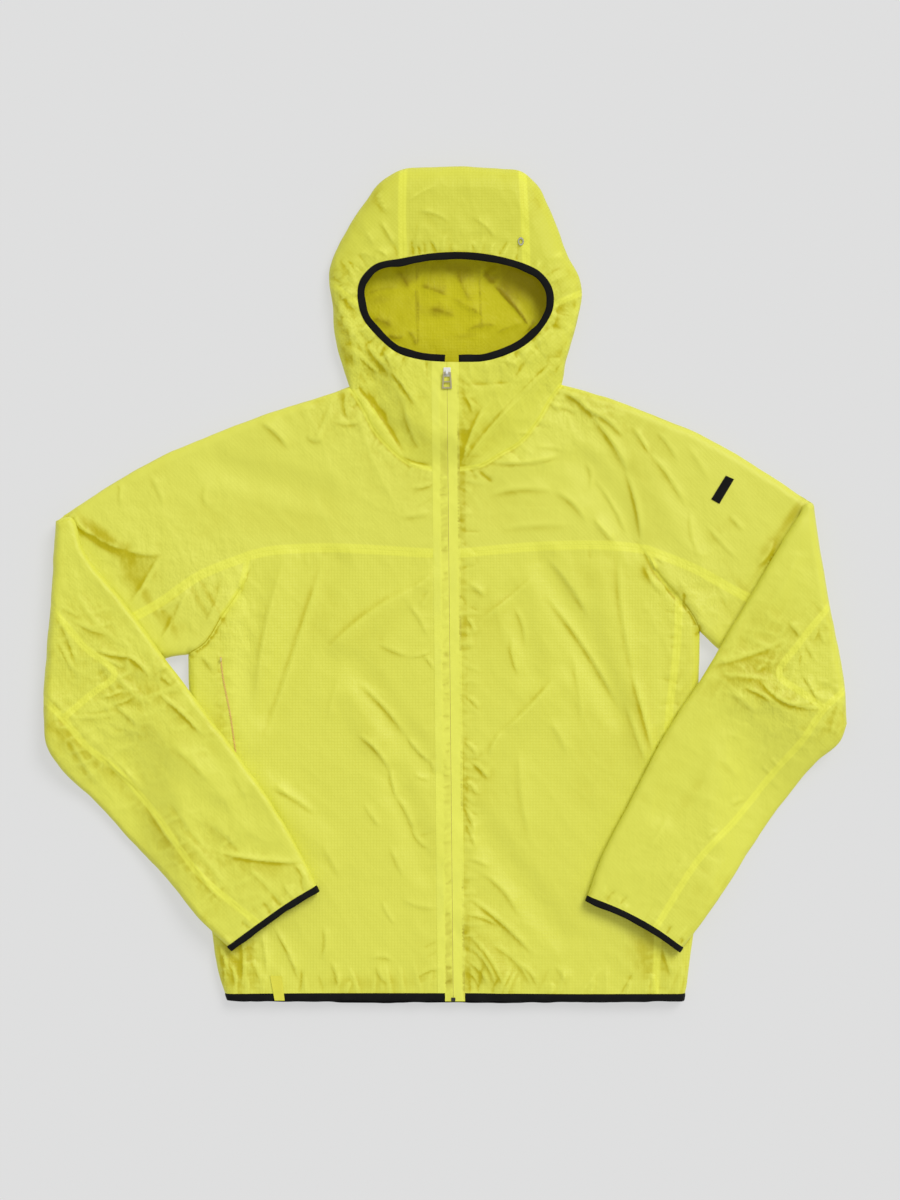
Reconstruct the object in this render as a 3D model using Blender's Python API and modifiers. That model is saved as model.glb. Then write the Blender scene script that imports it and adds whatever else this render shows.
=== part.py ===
"""Light hooded windshell jacket, laid on its back with both sleeves folded over the front.

Each cut piece is a thin wall of cloth. Its plan outline comes from shared seam lines, and its
height from one of six lying sheets: the back and the front of body and hood, and the under and
upper layer of each folded forearm. Tables are in millimetres; the scene is in metres.
"""

import math

import bmesh
import bpy
import numpy as np
from mathutils import Vector
from mathutils.geometry import delaunay_2d_cdt

MM = 0.001

# Cloth and making, in mm
CLOTH = 2.0             # shell cloth with its thin filling
SEAM = 0.36             # space between neighbouring pieces
BINDING_WIDTH = 8.5
BINDING_GAP = 0.47      # space between a binding and the cloth it finishes
BINDING_OUT = 0.5       # a binding stands this far proud of the cloth's outer face
BINDING_IN = 2.5        # and reaches this far in
BINDING_SOFT = 0.3      # rounding of its edges

# How the jacket lies, in mm
FRONT_TOP = 17.0        # outer face of the front above the table
HOOD_TOP = 27.0         # the same beside the face opening
HOOD_RISE = 45.0        # the rise from neck seam to full hood height
EDGE_MID = 8.5          # height where front and back meet at the side
BODY_ROLL = 14.0        # width of the rounded edge
HOOD_ROLL = 28.0
ARM_LIFT = 17.7         # under face of a forearm where it lies on the front
ARM_LOFT = 14.0         # full height of a forearm
ARM_CLEAR = 8.0         # the forearm stays level this far past the edge it lies over
ARM_DROP = 60.0         # distance in which it then sinks to the table
FOLD_MID = 16.0         # height where the sleeve back turns over at the elbow fold
ARM_ROLL = 12.0
CORNER = 3.5            # distance over which two rounded edges blend

# Meshing, in mm
EDGE_STEP = 25.0        # along outlines
FRONT_STEP = 30.0       # in layers seen from above
UNDER_STEP = 55.0       # in layers below
OPENING_STEP = 14.0     # round the face opening
SEAM_CLEAR = 3.0        # rows of points keep this far from a piece's seams
GUIDE_CLEAR = 6.0
ROLL_ANGLES = (30, 58, 90)

# The zip's middle line, its tapes' edges beside it, and the lower edge of the front, mm
ZIP_TOP, ZIP_FOOT, TAPE_HEAD = (1.0, 241.0), (8.0, -457.0), 244.0
TAPE = {"right": {"outer": -17.0, "inner": -2.4}, "left": {"outer": 13.0, "inner": 2.4}}
FRONT_HEM = -448.0
HEM_START = -1.3        # where the hem's binding begins beside the zip
CHAIN = (0.4, -1.8)     # the zip chain's faces above and below the cloth's outer face
NECK_TRIM = 2.8         # taken off the back's two neck corners
BACK_HEM = [(-243, -449), (-206, -450), (0, -452), (226, -450), (263, -449)]

# Zip slider, pull and bottom box, mm
HINGE_Y = 232.0
SLIDER = (8.0, 10.0, 2.3)
BRIDGE = {"inner": 1.5, "thick": 1.0, "width": 2.6}
BOX, BOX_SINK = (4.6, 4.0, 3.2), 0.6
PULL_TILT = -8.0        # degrees, so the pull's foot lies near the tapes

# Outlines and seams of each side. Each row is one line, listed from neck or centre outward.
SIDES = {
    "right": {
        "neck": [(-15, 127), (-41, 134), (-64, 153), (-78, 169), (-91, 194), (-106, 218)],
        "shoulder": [(-106, 218), (-148, 204), (-204, 186), (-251, 168), (-330, 133),
                     (-388, 98), (-412, 82), (-428, 70)],
        "fold": [(-428, 70), (-430, 42), (-434, -22), (-439, -80), (-442, -124), (-441, -153)],
        "tuck": [(-412, 82), (-425, 10), (-432, -69), (-436, -120), (-435, -150)],
        "arm_under": [(-441, -153), (-435, -150), (-370, -119), (-301, -79), (-283, -76)],
        "side": [(-283, -76), (-282, -127), (-276, -215), (-267, -302), (-257, -386),
                 (-251, -424), (-243, -449)],
        "inner": [(-428, 70), (-421, 73), (-414, 75), (-397, 38), (-348, -25), (-305, -84), (-256, -150),
                  (-207, -215), (-165, -283), (-142, -329)],
        "outer": [(-441, -153), (-438, -175), (-425, -199), (-387, -237), (-348, -280),
                  (-305, -324), (-267, -369), (-240, -396)],
        "cuff": [(-240, -396), (-208, -367), (-173, -342), (-142, -329)],
        "yoke": [(-14, 35), (-161, 40), (-196, 37), (-217, 32)],
        "yoke_arm": [(-217, 32), (-271, 10), (-315, -20), (-381, -52), (-432, -69)],
        "armhole": [(-217, 32), (-227, -6), (-245, -33), (-267, -66), (-283, -76)],
        "front_side": [(-245, -33), (-250, -78), (-239, -148), (-229, -226), (-220, -324),
                       (-210, -448.5)],
        "back_side": [(-283, -76), (-262, -150), (-248, -226), (-232, -324), (-206, -450)],
        "raglan": [(-106, 218), (-170, 110), (-230, 10), (-262, -42), (-283, -76)],
        "arm_back": [(-439, -80), (-350, -62), (-262, -42)],
        "long": [(-442, -124), (-419, -146), (-393, -177), (-366, -199), (-317, -253),
                 (-272, -314), (-208, -367)],
        "patch": [(-434, -22), (-418, -41), (-397, -66), (-363, -100), (-386, -118),
                  (-419, -146)],
        "arm_front": [(-438, -175), (-400, -170), (-330, -222), (-262, -300), (-208, -367)],
        "hem": [(-9, -448), (-128, -448), (-210, -448.5), (-243, -449)],
        "crown": [(-47, 457), (-48, 407), (-47, 358)],
        "crown_back": [(-47, 457), (-38, 400), (-34, 353), (-32, 259), (-31, 213)],
        "ear": [(-128, 332), (-96, 307)],
    },
    "left": {
        "neck": [(15, 127), (38, 131), (61, 144), (81, 156), (101, 180), (117, 207), (127, 220)],
        "shoulder": [(127, 220), (184, 204), (230, 186), (274, 168), (337, 133), (362, 117),
                     (387, 100), (403, 89)],
        "fold": [(403, 89), (408, 56), (421, -21), (431, -72), (438, -114), (440, -152)],
        "tuck": [(387, 100), (406, 20), (419, -47), (432, -114), (434, -149)],
        "arm_under": [(440, -152), (434, -149), (367, -113), (295, -66), (279, -51)],
        "side": [(279, -51), (278, -116), (277, -193), (275, -292), (272, -386), (267, -424),
                 (263, -449)],
        "inner": [(403, 89), (396, 90), (387, 76), (375, 58), (332, -14), (288, -89), (239, -165),
                  (201, -238), (170, -298), (155, -340)],
        "outer": [(440, -152), (433, -170), (406, -195), (372, -237), (336, -289), (294, -351),
                  (260, -397)],
        "cuff": [(260, -397), (229, -375), (194, -356), (155, -340)],
        "yoke": [(16, 35), (114, 43), (197, 42), (220, 39)],
        "yoke_arm": [(220, 39), (268, 20), (332, -14), (389, -38), (419, -47)],
        "armhole": [(220, 39), (231, 16), (256, -14), (273, -37), (279, -51)],
        "front_side": [(256, -14), (254, -61), (245, -140), (240, -226), (235, -324),
                       (230, -449)],
        "back_side": [(279, -51), (262, -140), (252, -226), (243, -324), (226, -450)],
        "raglan": [(127, 220), (180, 120), (232, 20), (262, -24), (279, -51)],
        "arm_back": [(431, -72), (350, -48), (262, -24)],
        "long": [(438, -114), (414, -135), (391, -169), (361, -204), (315, -260), (285, -290),
                 (229, -375)],
        "patch": [(421, -21), (387, -63), (365, -99), (390, -118), (414, -135)],
        "arm_front": [(433, -170), (395, -160), (330, -225), (280, -290), (229, -375)],
        "hem": [(21, -448), (147, -449), (230, -449), (263, -449)],
        "crown": [(84, 454), (86, 407), (88, 351)],
        "crown_back": [(84, 454), (60, 400), (40, 353), (38, 259), (37, 211)],
        "ear": [(150, 321), (118, 307)],
    },
}

# The hood's outline from the left neck point over the crown to the right one, and the edge of its
# face opening from the right zip tape round to the left one.
HOOD_OUTLINE = [(127, 220), (132, 245), (140, 272), (146, 296), (150, 321), (147, 338), (135, 361),
                (124, 388), (113, 415), (100, 440), (84, 454), (59, 458), (21, 460), (-31, 459),
                (-47, 457), (-68, 447), (-88, 422), (-106, 395), (-120, 369), (-128, 346),
                (-128, 332), (-125, 308), (-123, 278), (-117, 250), (-106, 218)]
OPENING = [(-16, 245), (-30, 247), (-53, 254), (-75, 272), (-91, 292), (-96, 307), (-94, 334),
           (-81, 349), (-47, 358), (-6, 364), (30, 364), (73, 356), (88, 351), (103, 343),
           (117, 323), (118, 307), (105, 280), (86, 262), (64, 251), (42, 245), (14, 244)]
NAPE = [(-106, 218), (-31, 213), (37, 211), (127, 220)]

# Largest folds: ends of the fold, half its width and its height (below zero for a trough), mm.
FRONT_FOLDS = [
    # x0, y0, x1, y1, half, height
    (-123, 24, -194, -141, 26, -3.0), (-16, 7, -114, -62, 24, 2.2),
    (-96, -92, -20, -202, 26, -2.4), (-102, -123, -65, -190, 24, 2.0),
    (-65, -190, -20, -312, 26, -2.4), (-200, -221, -139, -283, 26, 2.2),
    (107, 24, 192, -141, 26, -2.8), (168, 12, 217, -184, 24, 2.2),
    (125, -110, 45, -184, 26, 2.2), (76, -12, 95, -98, 24, -2.2),
    (30, -257, 125, -381, 26, -2.6), (30, -368, 64, -442, 24, 2.4),
    (150, 135, 211, 43, 26, -2.6), (211, 135, 278, 19, 26, 2.4),
    (43, 126, 103, 138, 24, 2.0), (123, 203, 169, 165, 24, -2.6),
    (-96, 264, -41, 160, 24, -3.2), (131, 288, 30, 165, 26, -3.0),
    (-178, 24, -214, -172, 22, 2.2), (-250, 130, -140, 100, 28, -2.4),
]
ARM_FOLDS = [
    (-271, -272, -155, -305, 24, -2.6), (-361, -100, -282, -116, 24, -2.6),
    (-395, 40, -330, -40, 24, 2.2), (-330, -150, -240, -230, 26, 2.2),
    (288, -89, 367, -61, 24, -2.6), (323, -116, 413, -134, 24, 2.2),
    (385, 60, 350, -30, 24, 2.0), (300, -150, 240, -250, 26, -2.2),
]


# ---- lines --------------------------------------------------------------------------------------

def zip_x(y):
    """The zip's middle at height y, mm."""
    share = (ZIP_TOP[1] - y) / (ZIP_TOP[1] - ZIP_FOOT[1])
    return ZIP_TOP[0] + share * (ZIP_FOOT[0] - ZIP_TOP[0])


def smooth_spans(points, fine=16):
    """One finely sampled cubic span between each pair of neighbouring points."""
    p = np.array(points, float)
    lengths = np.linalg.norm(np.diff(p, axis=0), axis=1)
    slopes = np.diff(p, axis=0) / lengths[:, None]
    tangents = np.vstack([slopes[:1], np.zeros((len(p) - 2, 2)), slopes[-1:]])
    for i in range(1, len(p) - 1):
        before, after = lengths[i - 1], lengths[i]
        tangents[i] = (slopes[i - 1] * after + slopes[i] * before) / (before + after)
    spans = []
    for i, length in enumerate(lengths):
        t = np.linspace(0, 1, fine + 1)[:, None]
        spans.append((2 * t**3 - 3 * t**2 + 1) * p[i] + (t**3 - 2 * t**2 + t) * length * tangents[i]
                     + (3 * t**2 - 2 * t**3) * p[i + 1] + (t**3 - t**2) * length * tangents[i + 1])
    return spans


def run(points, first=0, last=-1, step=EDGE_STEP, sheet=None, straight=False):
    """Stations along a line between two of its points, with extra ones where a seam climbs the
    rounded edge of its sheet. Every point of the table is a station."""
    last = len(points) - 1 if last == -1 else last
    if last < first:
        return run(points, last, first, step, sheet, straight)[::-1]
    spans = smooth_spans(points, 1 if straight else 16)[first:last]
    out = [tuple(spans[0][0])]
    for span in spans:
        steps = np.linalg.norm(np.diff(span, axis=0), axis=1)
        along = np.concatenate([[0], np.cumsum(steps)])
        count = max(1, math.ceil(along[-1] / step - 0.25))
        marks = [along[-1] * k / count for k in range(1, count)]
        if sheet is not None:
            marks = climb_marks(span, along, marks, sheet)
        for mark in marks:
            out.append((float(np.interp(mark, along, span[:, 0])),
                        float(np.interp(mark, along, span[:, 1]))))
        out.append(tuple(span[-1]))
    return out


def climb_marks(span, along, marks, sheet):
    """Lengths along a span at which the rounded edge reaches each of its angles."""
    lengths = np.linspace(0, along[-1], 60)
    depth = [sheet.depth((np.interp(s, along, span[:, 0]), np.interp(s, along, span[:, 1])))
             for s in lengths]
    extra = []
    for level in roll_depths():
        for i in range(len(lengths) - 1):
            low, high = depth[i] - level, depth[i + 1] - level
            if (low < 0) != (high < 0):
                extra.append(lengths[i] + (lengths[i + 1] - lengths[i]) * low / (low - high))
    extra = [s for s in extra if 0.8 < s < along[-1] - 0.8]
    kept = [m for m in marks if all(abs(m - s) > 5 for s in extra)]
    return sorted(kept + extra)


def roll_depths():
    """Shares of the roll's width at which its quarter round has the meshed angles."""
    return [1 - math.cos(math.radians(a)) for a in ROLL_ANGLES]


def distance_to(points, p):
    """Least distance from p to a line."""
    a = np.array(points[:-1], float)
    d = np.array(points[1:], float) - a
    t = np.clip(((p - a) * d).sum(1) / (d * d).sum(1), 0, 1)
    return float(np.linalg.norm(a + d * t[:, None] - p, axis=1).min())


def inside(loop, p):
    """True where p is inside a closed loop of points."""
    a = np.array(loop, float)
    b = np.roll(a, -1, axis=0)
    crosses = (a[:, 1] > p[1]) != (b[:, 1] > p[1])
    with np.errstate(divide="ignore", invalid="ignore"):
        x = a[:, 0] + (p[1] - a[:, 1]) * (b[:, 0] - a[:, 0]) / (b[:, 1] - a[:, 1])
    return bool(np.count_nonzero(crosses & (p[0] < x)) % 2)


def ease(t):
    """Smooth step from 0 to 1."""
    t = min(max(t, 0.0), 1.0)
    return t * t * (3 - 2 * t)


# ---- sheets -------------------------------------------------------------------------------------

class RolledEdge:
    """A stretch of outline, interior on its left, where a sheet turns down to meet its partner."""

    def __init__(self, points, mid, roll):
        self.points = np.array(points, float)
        self.mid, self.roll = mid, roll
        along = np.diff(self.points, axis=0)
        along /= np.linalg.norm(along, axis=1)[:, None]
        left = np.stack([-along[:, 1], along[:, 0]], 1)
        normals = np.vstack([left[:1], left[:-1] + left[1:], left[-1:]])
        self.normals = normals / np.linalg.norm(normals, axis=1)[:, None]

    def nearest(self, p):
        """Distance to the edge and the direction into the sheet."""
        a, b = self.points[:-1], self.points[1:]
        d = b - a
        t = np.clip(((p - a) * d).sum(1) / (d * d).sum(1), 0, 1)
        gap = np.linalg.norm(a + d * t[:, None] - p, axis=1)
        i = int(gap.argmin())
        n = self.normals[i] * (1 - t[i]) + self.normals[i + 1] * t[i]
        return float(gap[i]), n / np.linalg.norm(n)


class Sheet:
    """One lying layer of cloth: a level surface that turns up or down at its rolled edges."""

    def __init__(self, edges, level, facing, guides=()):
        self.edges, self.level, self.facing, self.guides = edges, level, facing, guides

    def nearest(self, p):
        found = [edge.nearest(p) for edge in self.edges]
        least = min(gap for gap, _ in found)
        weights = [math.exp((least - gap) / CORNER) for gap, _ in found]
        total = sum(weights)
        inward = sum(w * n for w, (_, n) in zip(weights, found))
        mid = sum(w * e.mid(p) for w, e in zip(weights, self.edges)) / total
        roll = sum(w * e.roll(p) for w, e in zip(weights, self.edges)) / total
        return least, inward / np.linalg.norm(inward), mid, roll

    def depth(self, p):
        """Distance from the nearest rolled edge as a share of the roll's width."""
        least, _, _, roll = self.nearest(np.array(p, float))
        return least / roll

    def at(self, x, y):
        """Point on the outer face and the outward normal there, mm."""
        p = np.array((x, y), float)
        least, inward, mid, roll = self.nearest(p)
        level = self.level(p)
        d = 0.5
        rise = np.array([(self.level(p + (d, 0)) - self.level(p - (d, 0))) / (2 * d),
                         (self.level(p + (0, d)) - self.level(p - (0, d))) / (2 * d)])
        cosine = 1 - min(least / roll, 1.0)
        sine = math.sqrt(max(1 - cosine * cosine, 0.0))
        flat = -inward * (level - mid) * cosine - rise * roll * sine * sine
        normal = Vector((flat[0], flat[1], roll * sine)) * self.facing
        return Vector((x, y, mid + (level - mid) * sine)), normal.normalized()


def fold_height(folds, p):
    """Sum of the rounded ridges and troughs at p."""
    height = 0.0
    for x0, y0, x1, y1, half, rise in folds:
        gap = distance_to([(x0, y0), (x1, y1)], p)
        if gap < half:
            height += rise * (1 + math.cos(math.pi * gap / half)) / 2
    return height


def ccw(name, line):
    """A side's line in the direction that keeps the jacket on its left."""
    return line if name == "right" else line[::-1]


def join(*lines):
    """Lines end to end, with each shared point kept once."""
    out = list(lines[0])
    for line in lines[1:]:
        out += line[1:]
    return out


def body_outline():
    """Closed outline of body, upper sleeves and hood, counterclockwise from the left hem."""
    left, right = SIDES["left"], SIDES["right"]
    return join(run(left["side"])[::-1], run(left["arm_under"])[::-1], run(left["fold"])[::-1],
                run(left["shoulder"])[::-1], run(HOOD_OUTLINE), run(right["shoulder"]),
                run(right["fold"]), run(right["arm_under"]), run(right["side"]))


BODY = body_outline()
HOOD_LOOP = join(run(HOOD_OUTLINE), run(SIDES["right"]["neck"])[::-1]) + run(SIDES["left"]["neck"])[:-1]
NECK_LINE = run(SIDES["right"]["neck"])[::-1] + run(SIDES["left"]["neck"])


def hood_share(p):
    """0 at the neck seam and outside the hood, 1 at full hood height."""
    if not inside(HOOD_LOOP, p):
        return 0.0
    return ease(distance_to(NECK_LINE, p) / HOOD_RISE)


def front_level(p):
    """Outer face of the front, the yokes and the hood's upper layer."""
    return FRONT_TOP + (HOOD_TOP - FRONT_TOP) * hood_share(p) + fold_height(FRONT_FOLDS, p)


def arm_base(p):
    """Under face of a forearm: on the front, or sinking to the table beside it."""
    if inside(BODY, p):
        return ARM_LIFT + max(fold_height(FRONT_FOLDS, p), 0)
    return ARM_LIFT * (1 - ease((distance_to(BODY, p) - ARM_CLEAR) / ARM_DROP))


def arm_top(p):
    """Outer face of a forearm's upper layer."""
    return arm_base(p) + ARM_LOFT + fold_height(ARM_FOLDS, p)


def arm_mid(p):
    """Height where a forearm's two layers meet along its sides."""
    return arm_base(p) + ARM_LOFT / 2


def body_roll(p):
    """Width of the rounded edge, wider on the hood."""
    return BODY_ROLL + (HOOD_ROLL - BODY_ROLL) * hood_share(p)


def even(value):
    """The same value everywhere."""
    return lambda p: value


def make_sheets():
    """The lying layers, by name."""
    left, right = SIDES["left"], SIDES["right"]
    low_left = join(run(left["side"])[::-1], run(left["arm_under"])[::-1])
    low_right = join(run(right["arm_under"]), run(right["side"]))
    top = join(run(left["shoulder"])[::-1], run(HOOD_OUTLINE), run(right["shoulder"]))
    middle = even(EDGE_MID)
    sides = [RolledEdge(line, middle, body_roll) for line in (low_left, top, low_right)]
    folds = [RolledEdge(ccw(side, run(SIDES[side]["fold"])), even(FOLD_MID), even(BODY_ROLL))
             for side in ("right", "left")]
    sheets = {"front": Sheet(sides, front_level, 1), "back": Sheet(sides + folds, even(0), -1)}
    for index, (side, low) in enumerate((("right", low_right), ("left", low_left))):
        guides = sink_lines(RolledEdge(low, middle, body_roll))
        lines = [ccw(side, run(SIDES[side][key])) for key in ("inner", "outer")]
        lines[0] = lines[0][::-1]
        edges = [RolledEdge(line, arm_mid, even(ARM_ROLL)) for line in lines]
        sheets[side + "_under"] = Sheet(edges, arm_base, -1, guides)
        sheets[side + "_over"] = Sheet(edges + [folds[index]], arm_top, 1, guides)
    return sheets


def sink_lines(side_edge):
    """Lines beside the body along which a sinking forearm bends."""
    lines = []
    for out in (ARM_CLEAR, ARM_CLEAR + ARM_DROP / 2, ARM_CLEAR + ARM_DROP):
        line = [tuple(p - n * out) for p, n in zip(side_edge.points, side_edge.normals)]
        lines.append([p if distance_to(BODY, p) > out - 0.5 else None for p in line])
    return lines


SHEETS = make_sheets()


# ---- building pieces ----------------------------------------------------------------------------

def start():
    """Empty the scene and make the collections."""
    for obj in list(bpy.data.objects):
        bpy.data.objects.remove(obj, do_unlink=True)
    made = {}
    for name in ("hooded_windshell", "cutters"):
        made[name] = bpy.data.collections.new(name)
        bpy.context.scene.collection.children.link(made[name])
    return made["hooded_windshell"], made["cutters"]


def material(name, color, rough, metal=0.0):
    """A plain Principled material."""
    made = bpy.data.materials.new(name)
    made.use_nodes = True
    shader = made.node_tree.nodes["Principled BSDF"]
    shader.inputs["Base Color"].default_value = (*color, 1)
    shader.inputs["Roughness"].default_value = rough
    shader.inputs["Metallic"].default_value = metal
    return made


def signed_area(loop):
    """Area of a closed loop, above zero when counterclockwise."""
    a = np.array(loop, float)
    b = np.roll(a, -1, axis=0)
    return float((a[:, 0] * b[:, 1] - b[:, 0] * a[:, 1]).sum() / 2)


def close_loop(stretches):
    """Points and edge kinds of a closed outline, counterclockwise. A kind is seam, roll (meets
    its partner layer at mid height) or wrap (runs on into its partner layer)."""
    points, kinds = [], []
    for line, kind in stretches:
        points += line[:-1]
        kinds += [kind] * (len(line) - 1)
    if signed_area(points) < 0:
        points = points[::-1]
        kinds = kinds[:-1][::-1] + kinds[-1:]
    return points, kinds


def shrink(points, kinds):
    """Move each seam edge of the outline in by half the space between pieces."""
    p = np.array(points, float)
    count = len(p)
    out = []
    for i in range(count):
        before, here, after = p[i - 1], p[i], p[(i + 1) % count]
        u = (here - before) / np.linalg.norm(here - before)
        v = (after - here) / np.linalg.norm(after - here)
        m, n = np.array((-u[1], u[0])), np.array((-v[1], v[0]))
        a = SEAM / 2 if kinds[i - 1] == "seam" else 0.0
        b = SEAM / 2 if kinds[i] == "seam" else 0.0
        turn = u @ n
        if abs(turn) < 0.05:
            out.append(here + (m + n) * max(a, b) / 2)
        else:
            out.append(here + m * a + u * ((n * b - m * a) @ n) / turn)
    return [tuple(q) for q in out]


def fill(points, kinds, sheet, step):
    """Triangles over an outline, with rows along the rounded edge and an even grid inside. The
    grid keeps off the outline and the rows by shares of its own step."""
    loop = np.array(points, float)
    count = len(points)
    closed = points + points[:1]
    seams = [(closed[i], closed[i + 1]) for i in range(count) if kinds[i] == "seam"]
    extra, edges = [], [(i, (i + 1) % count) for i in range(count)]

    def clear(p, margin):
        return inside(loop, p) and all(distance_to(s, p) > margin for s in seams)

    for edge in sheet.edges:
        for level in roll_depths():
            last = None
            for c, n in zip(edge.points, edge.normals):
                p = c + n * level * edge.roll(c)
                if clear(p, SEAM_CLEAR) and sheet.depth(p) > level - 0.03 and distance_to(closed, p) > 0.5:
                    extra.append(tuple(p))
                    here = count + len(extra) - 1
                    if last is not None:
                        edges.append((last, here))
                    last = here
                else:
                    last = None
    for guide in sheet.guides:
        last = None
        for p in guide:
            if p is not None and clear(p, GUIDE_CLEAR) and sheet.depth(p) > 1.2:
                extra.append(p)
                here = count + len(extra) - 1
                if last is not None:
                    edges.append((last, here))
                last = here
            else:
                last = None
    fixed = extra[:]
    low, high = loop.min(0), loop.max(0)
    rows = range(math.floor(low[1] / step), math.ceil(high[1] / step) + 1)
    for row in rows:
        shift = step / 2 if row % 2 else 0.0
        for column in range(math.floor(low[0] / step) - 1, math.ceil(high[0] / step) + 1):
            p = np.array((column * step + shift, row * step), float)
            if inside(loop, p) and distance_to(closed, p) > 0.5 * step and sheet.depth(p) > 1.35:
                if all(math.dist(p, q) > 0.4 * step for q in fixed):
                    extra.append(tuple(p))
    verts, _, faces, origin, _, _ = delaunay_2d_cdt(
        [Vector(q) for q in points + extra], edges, [], 1, 1e-5)
    rim = {min(o): i for i, o in enumerate(origin) if o and min(o) < count}
    return [tuple(v) for v in verts], [tuple(f) for f in faces], rim


class Wall:
    """A closed wall of cloth grown from one or two sides of the same piece."""

    def __init__(self, outer, inner):
        self.mesh = bmesh.new()
        self.outer, self.inner = outer, inner
        self.shared = {}

    def pair(self, sheet, x, y, kind="seam", key=None):
        """The outer and inner point over a plan point. Both sides of a wrap share theirs."""
        if kind == "wrap" and key in self.shared:
            return self.shared[key]
        point, normal = sheet.at(x, y)
        if kind == "roll":
            point.z += sheet.facing * SEAM / 2
        pair = [self.mesh.verts.new((point + normal * k) * MM) for k in (self.outer, self.inner)]
        if kind == "wrap":
            self.shared[key] = pair
        return pair

    def side(self, sheet, stretches, step):
        """Add one lying side of the piece."""
        points, kinds = close_loop(stretches)
        count = len(points)
        plan, faces, rim = fill(shrink(points, kinds), kinds, sheet, step)
        at_rim = {}
        for i in range(count):
            around = {kinds[i - 1], kinds[i]}
            kind = "wrap" if "wrap" in around else "roll" if "roll" in around else "seam"
            at_rim[rim[i]] = (kind, (round(points[i][0], 2), round(points[i][1], 2)))
        pairs = [self.pair(sheet, x, y, *at_rim.get(i, ())) for i, (x, y) in enumerate(plan)]
        for face in faces:
            self.mesh.faces.new([pairs[i][0] for i in face][::sheet.facing])
            self.mesh.faces.new([pairs[i][1] for i in face][::-sheet.facing])
        for i in range(count):
            if kinds[i] != "wrap":
                a, b = pairs[rim[i]], pairs[rim[(i + 1) % count]]
                self.mesh.faces.new([a[1], b[1], b[0], a[0]][::sheet.facing])

    def finish(self, name, look, target):
        """Make the object."""
        bmesh.ops.recalc_face_normals(self.mesh, faces=self.mesh.faces)
        data = bpy.data.meshes.new(name)
        self.mesh.to_mesh(data)
        self.mesh.free()
        return add_object(name, data, look, target)


def add_object(name, data, look, target):
    """Link an object with its material."""
    obj = bpy.data.objects.new(name, data)
    data.materials.append(look)
    target.objects.link(obj)
    return obj


def cloth(name, sides, look, target, outer=0.0, inner=-CLOTH):
    """A piece from its lying sides: (sheet name, outline stretches, grid step)."""
    wall = Wall(outer, inner)
    for sheet, stretches, step in sides:
        wall.side(SHEETS[sheet], stretches, step)
    return wall.finish(name, look, target)


def strip(name, stations, look, target, closed):
    """A bound edge: a flat section swept along it. A station is the edge point, the outward
    normal and the direction in which the binding is wide."""
    made = bmesh.new()
    rings = []
    for point, normal, across in stations:
        near, far = across * BINDING_GAP, across * BINDING_WIDTH
        corners = [(near, BINDING_OUT - BINDING_SOFT), (near + across, BINDING_OUT),
                   (far - across, BINDING_OUT), (far, BINDING_OUT - BINDING_SOFT),
                   (far, BINDING_SOFT - BINDING_IN), (near, -BINDING_IN)]
        ring = [point + side + normal * k for side, k in corners]
        rings.append([made.verts.new(Vector((q.x, q.y, max(q.z, 0))) * MM) for q in ring])
    size = len(rings[0])
    last = len(rings) if closed else len(rings) - 1
    for i in range(last):
        a, b = rings[i], rings[(i + 1) % len(rings)]
        for j in range(size):
            k = (j + 1) % size
            made.faces.new([a[j], a[k], b[k], b[j]])
    if not closed:
        made.faces.new(rings[0])
        made.faces.new(rings[-1][::-1])
    bmesh.ops.recalc_face_normals(made, faces=made.faces)
    data = bpy.data.meshes.new(name)
    made.to_mesh(data)
    made.free()
    return add_object(name, data, look, target)


# ---- cut pieces ---------------------------------------------------------------------------------

def front_seam(side, key, first=0, last=-1):
    """Stations of a seam that lies in the front sheet."""
    return run(SIDES[side][key], first, last, FRONT_STEP, SHEETS["front"])


def back_seam(side, key, first=0, last=-1):
    """Stations of a seam that lies in the back sheet."""
    return run(SIDES[side][key], first, last, UNDER_STEP, SHEETS["back"])


def edge(side, key, first=0, last=-1):
    """Stations of an outline edge, the same for both layers that meet there."""
    return run(SIDES[side][key], first, last)


def tape_line(side, which, *heights):
    """The outer or inner edge of a zip tape, through the given heights."""
    offset = TAPE[side][which]
    return run([(zip_x(y) + offset, y) for y in heights], step=FRONT_STEP, straight=True)


def opening(first, last):
    """Part of the face opening's edge."""
    return run(OPENING, first, last, OPENING_STEP)


def crown(first, last):
    """Part of the hood's outline."""
    return run(HOOD_OUTLINE, first, last)


def arm_seam(side, layer, key, first=0, last=-1):
    """Stations of a seam in a forearm's upper or under layer."""
    step = FRONT_STEP if layer == "over" else UNDER_STEP
    return run(SIDES[side][key], first, last, step, SHEETS[side + "_" + layer])


def cuff_line(side, first, last):
    """Part of a sleeve's end, the same for both of its layers."""
    return run(SIDES[side]["cuff"], first, last, FRONT_STEP, SHEETS[side + "_over"])


def hem_line(side, first, last):
    """Part of the front's lower edge."""
    return run(SIDES[side]["hem"], first, last, FRONT_STEP, SHEETS["front"])


def back_hem(first, last):
    """Part of the back's lower edge."""
    return run(BACK_HEM, first, last, UNDER_STEP, SHEETS["back"])


def back_hem_ends(side):
    """Positions in the back hem of a side's outline and of its back seam."""
    return (0, 1) if side == "right" else (4, 3)


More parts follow.
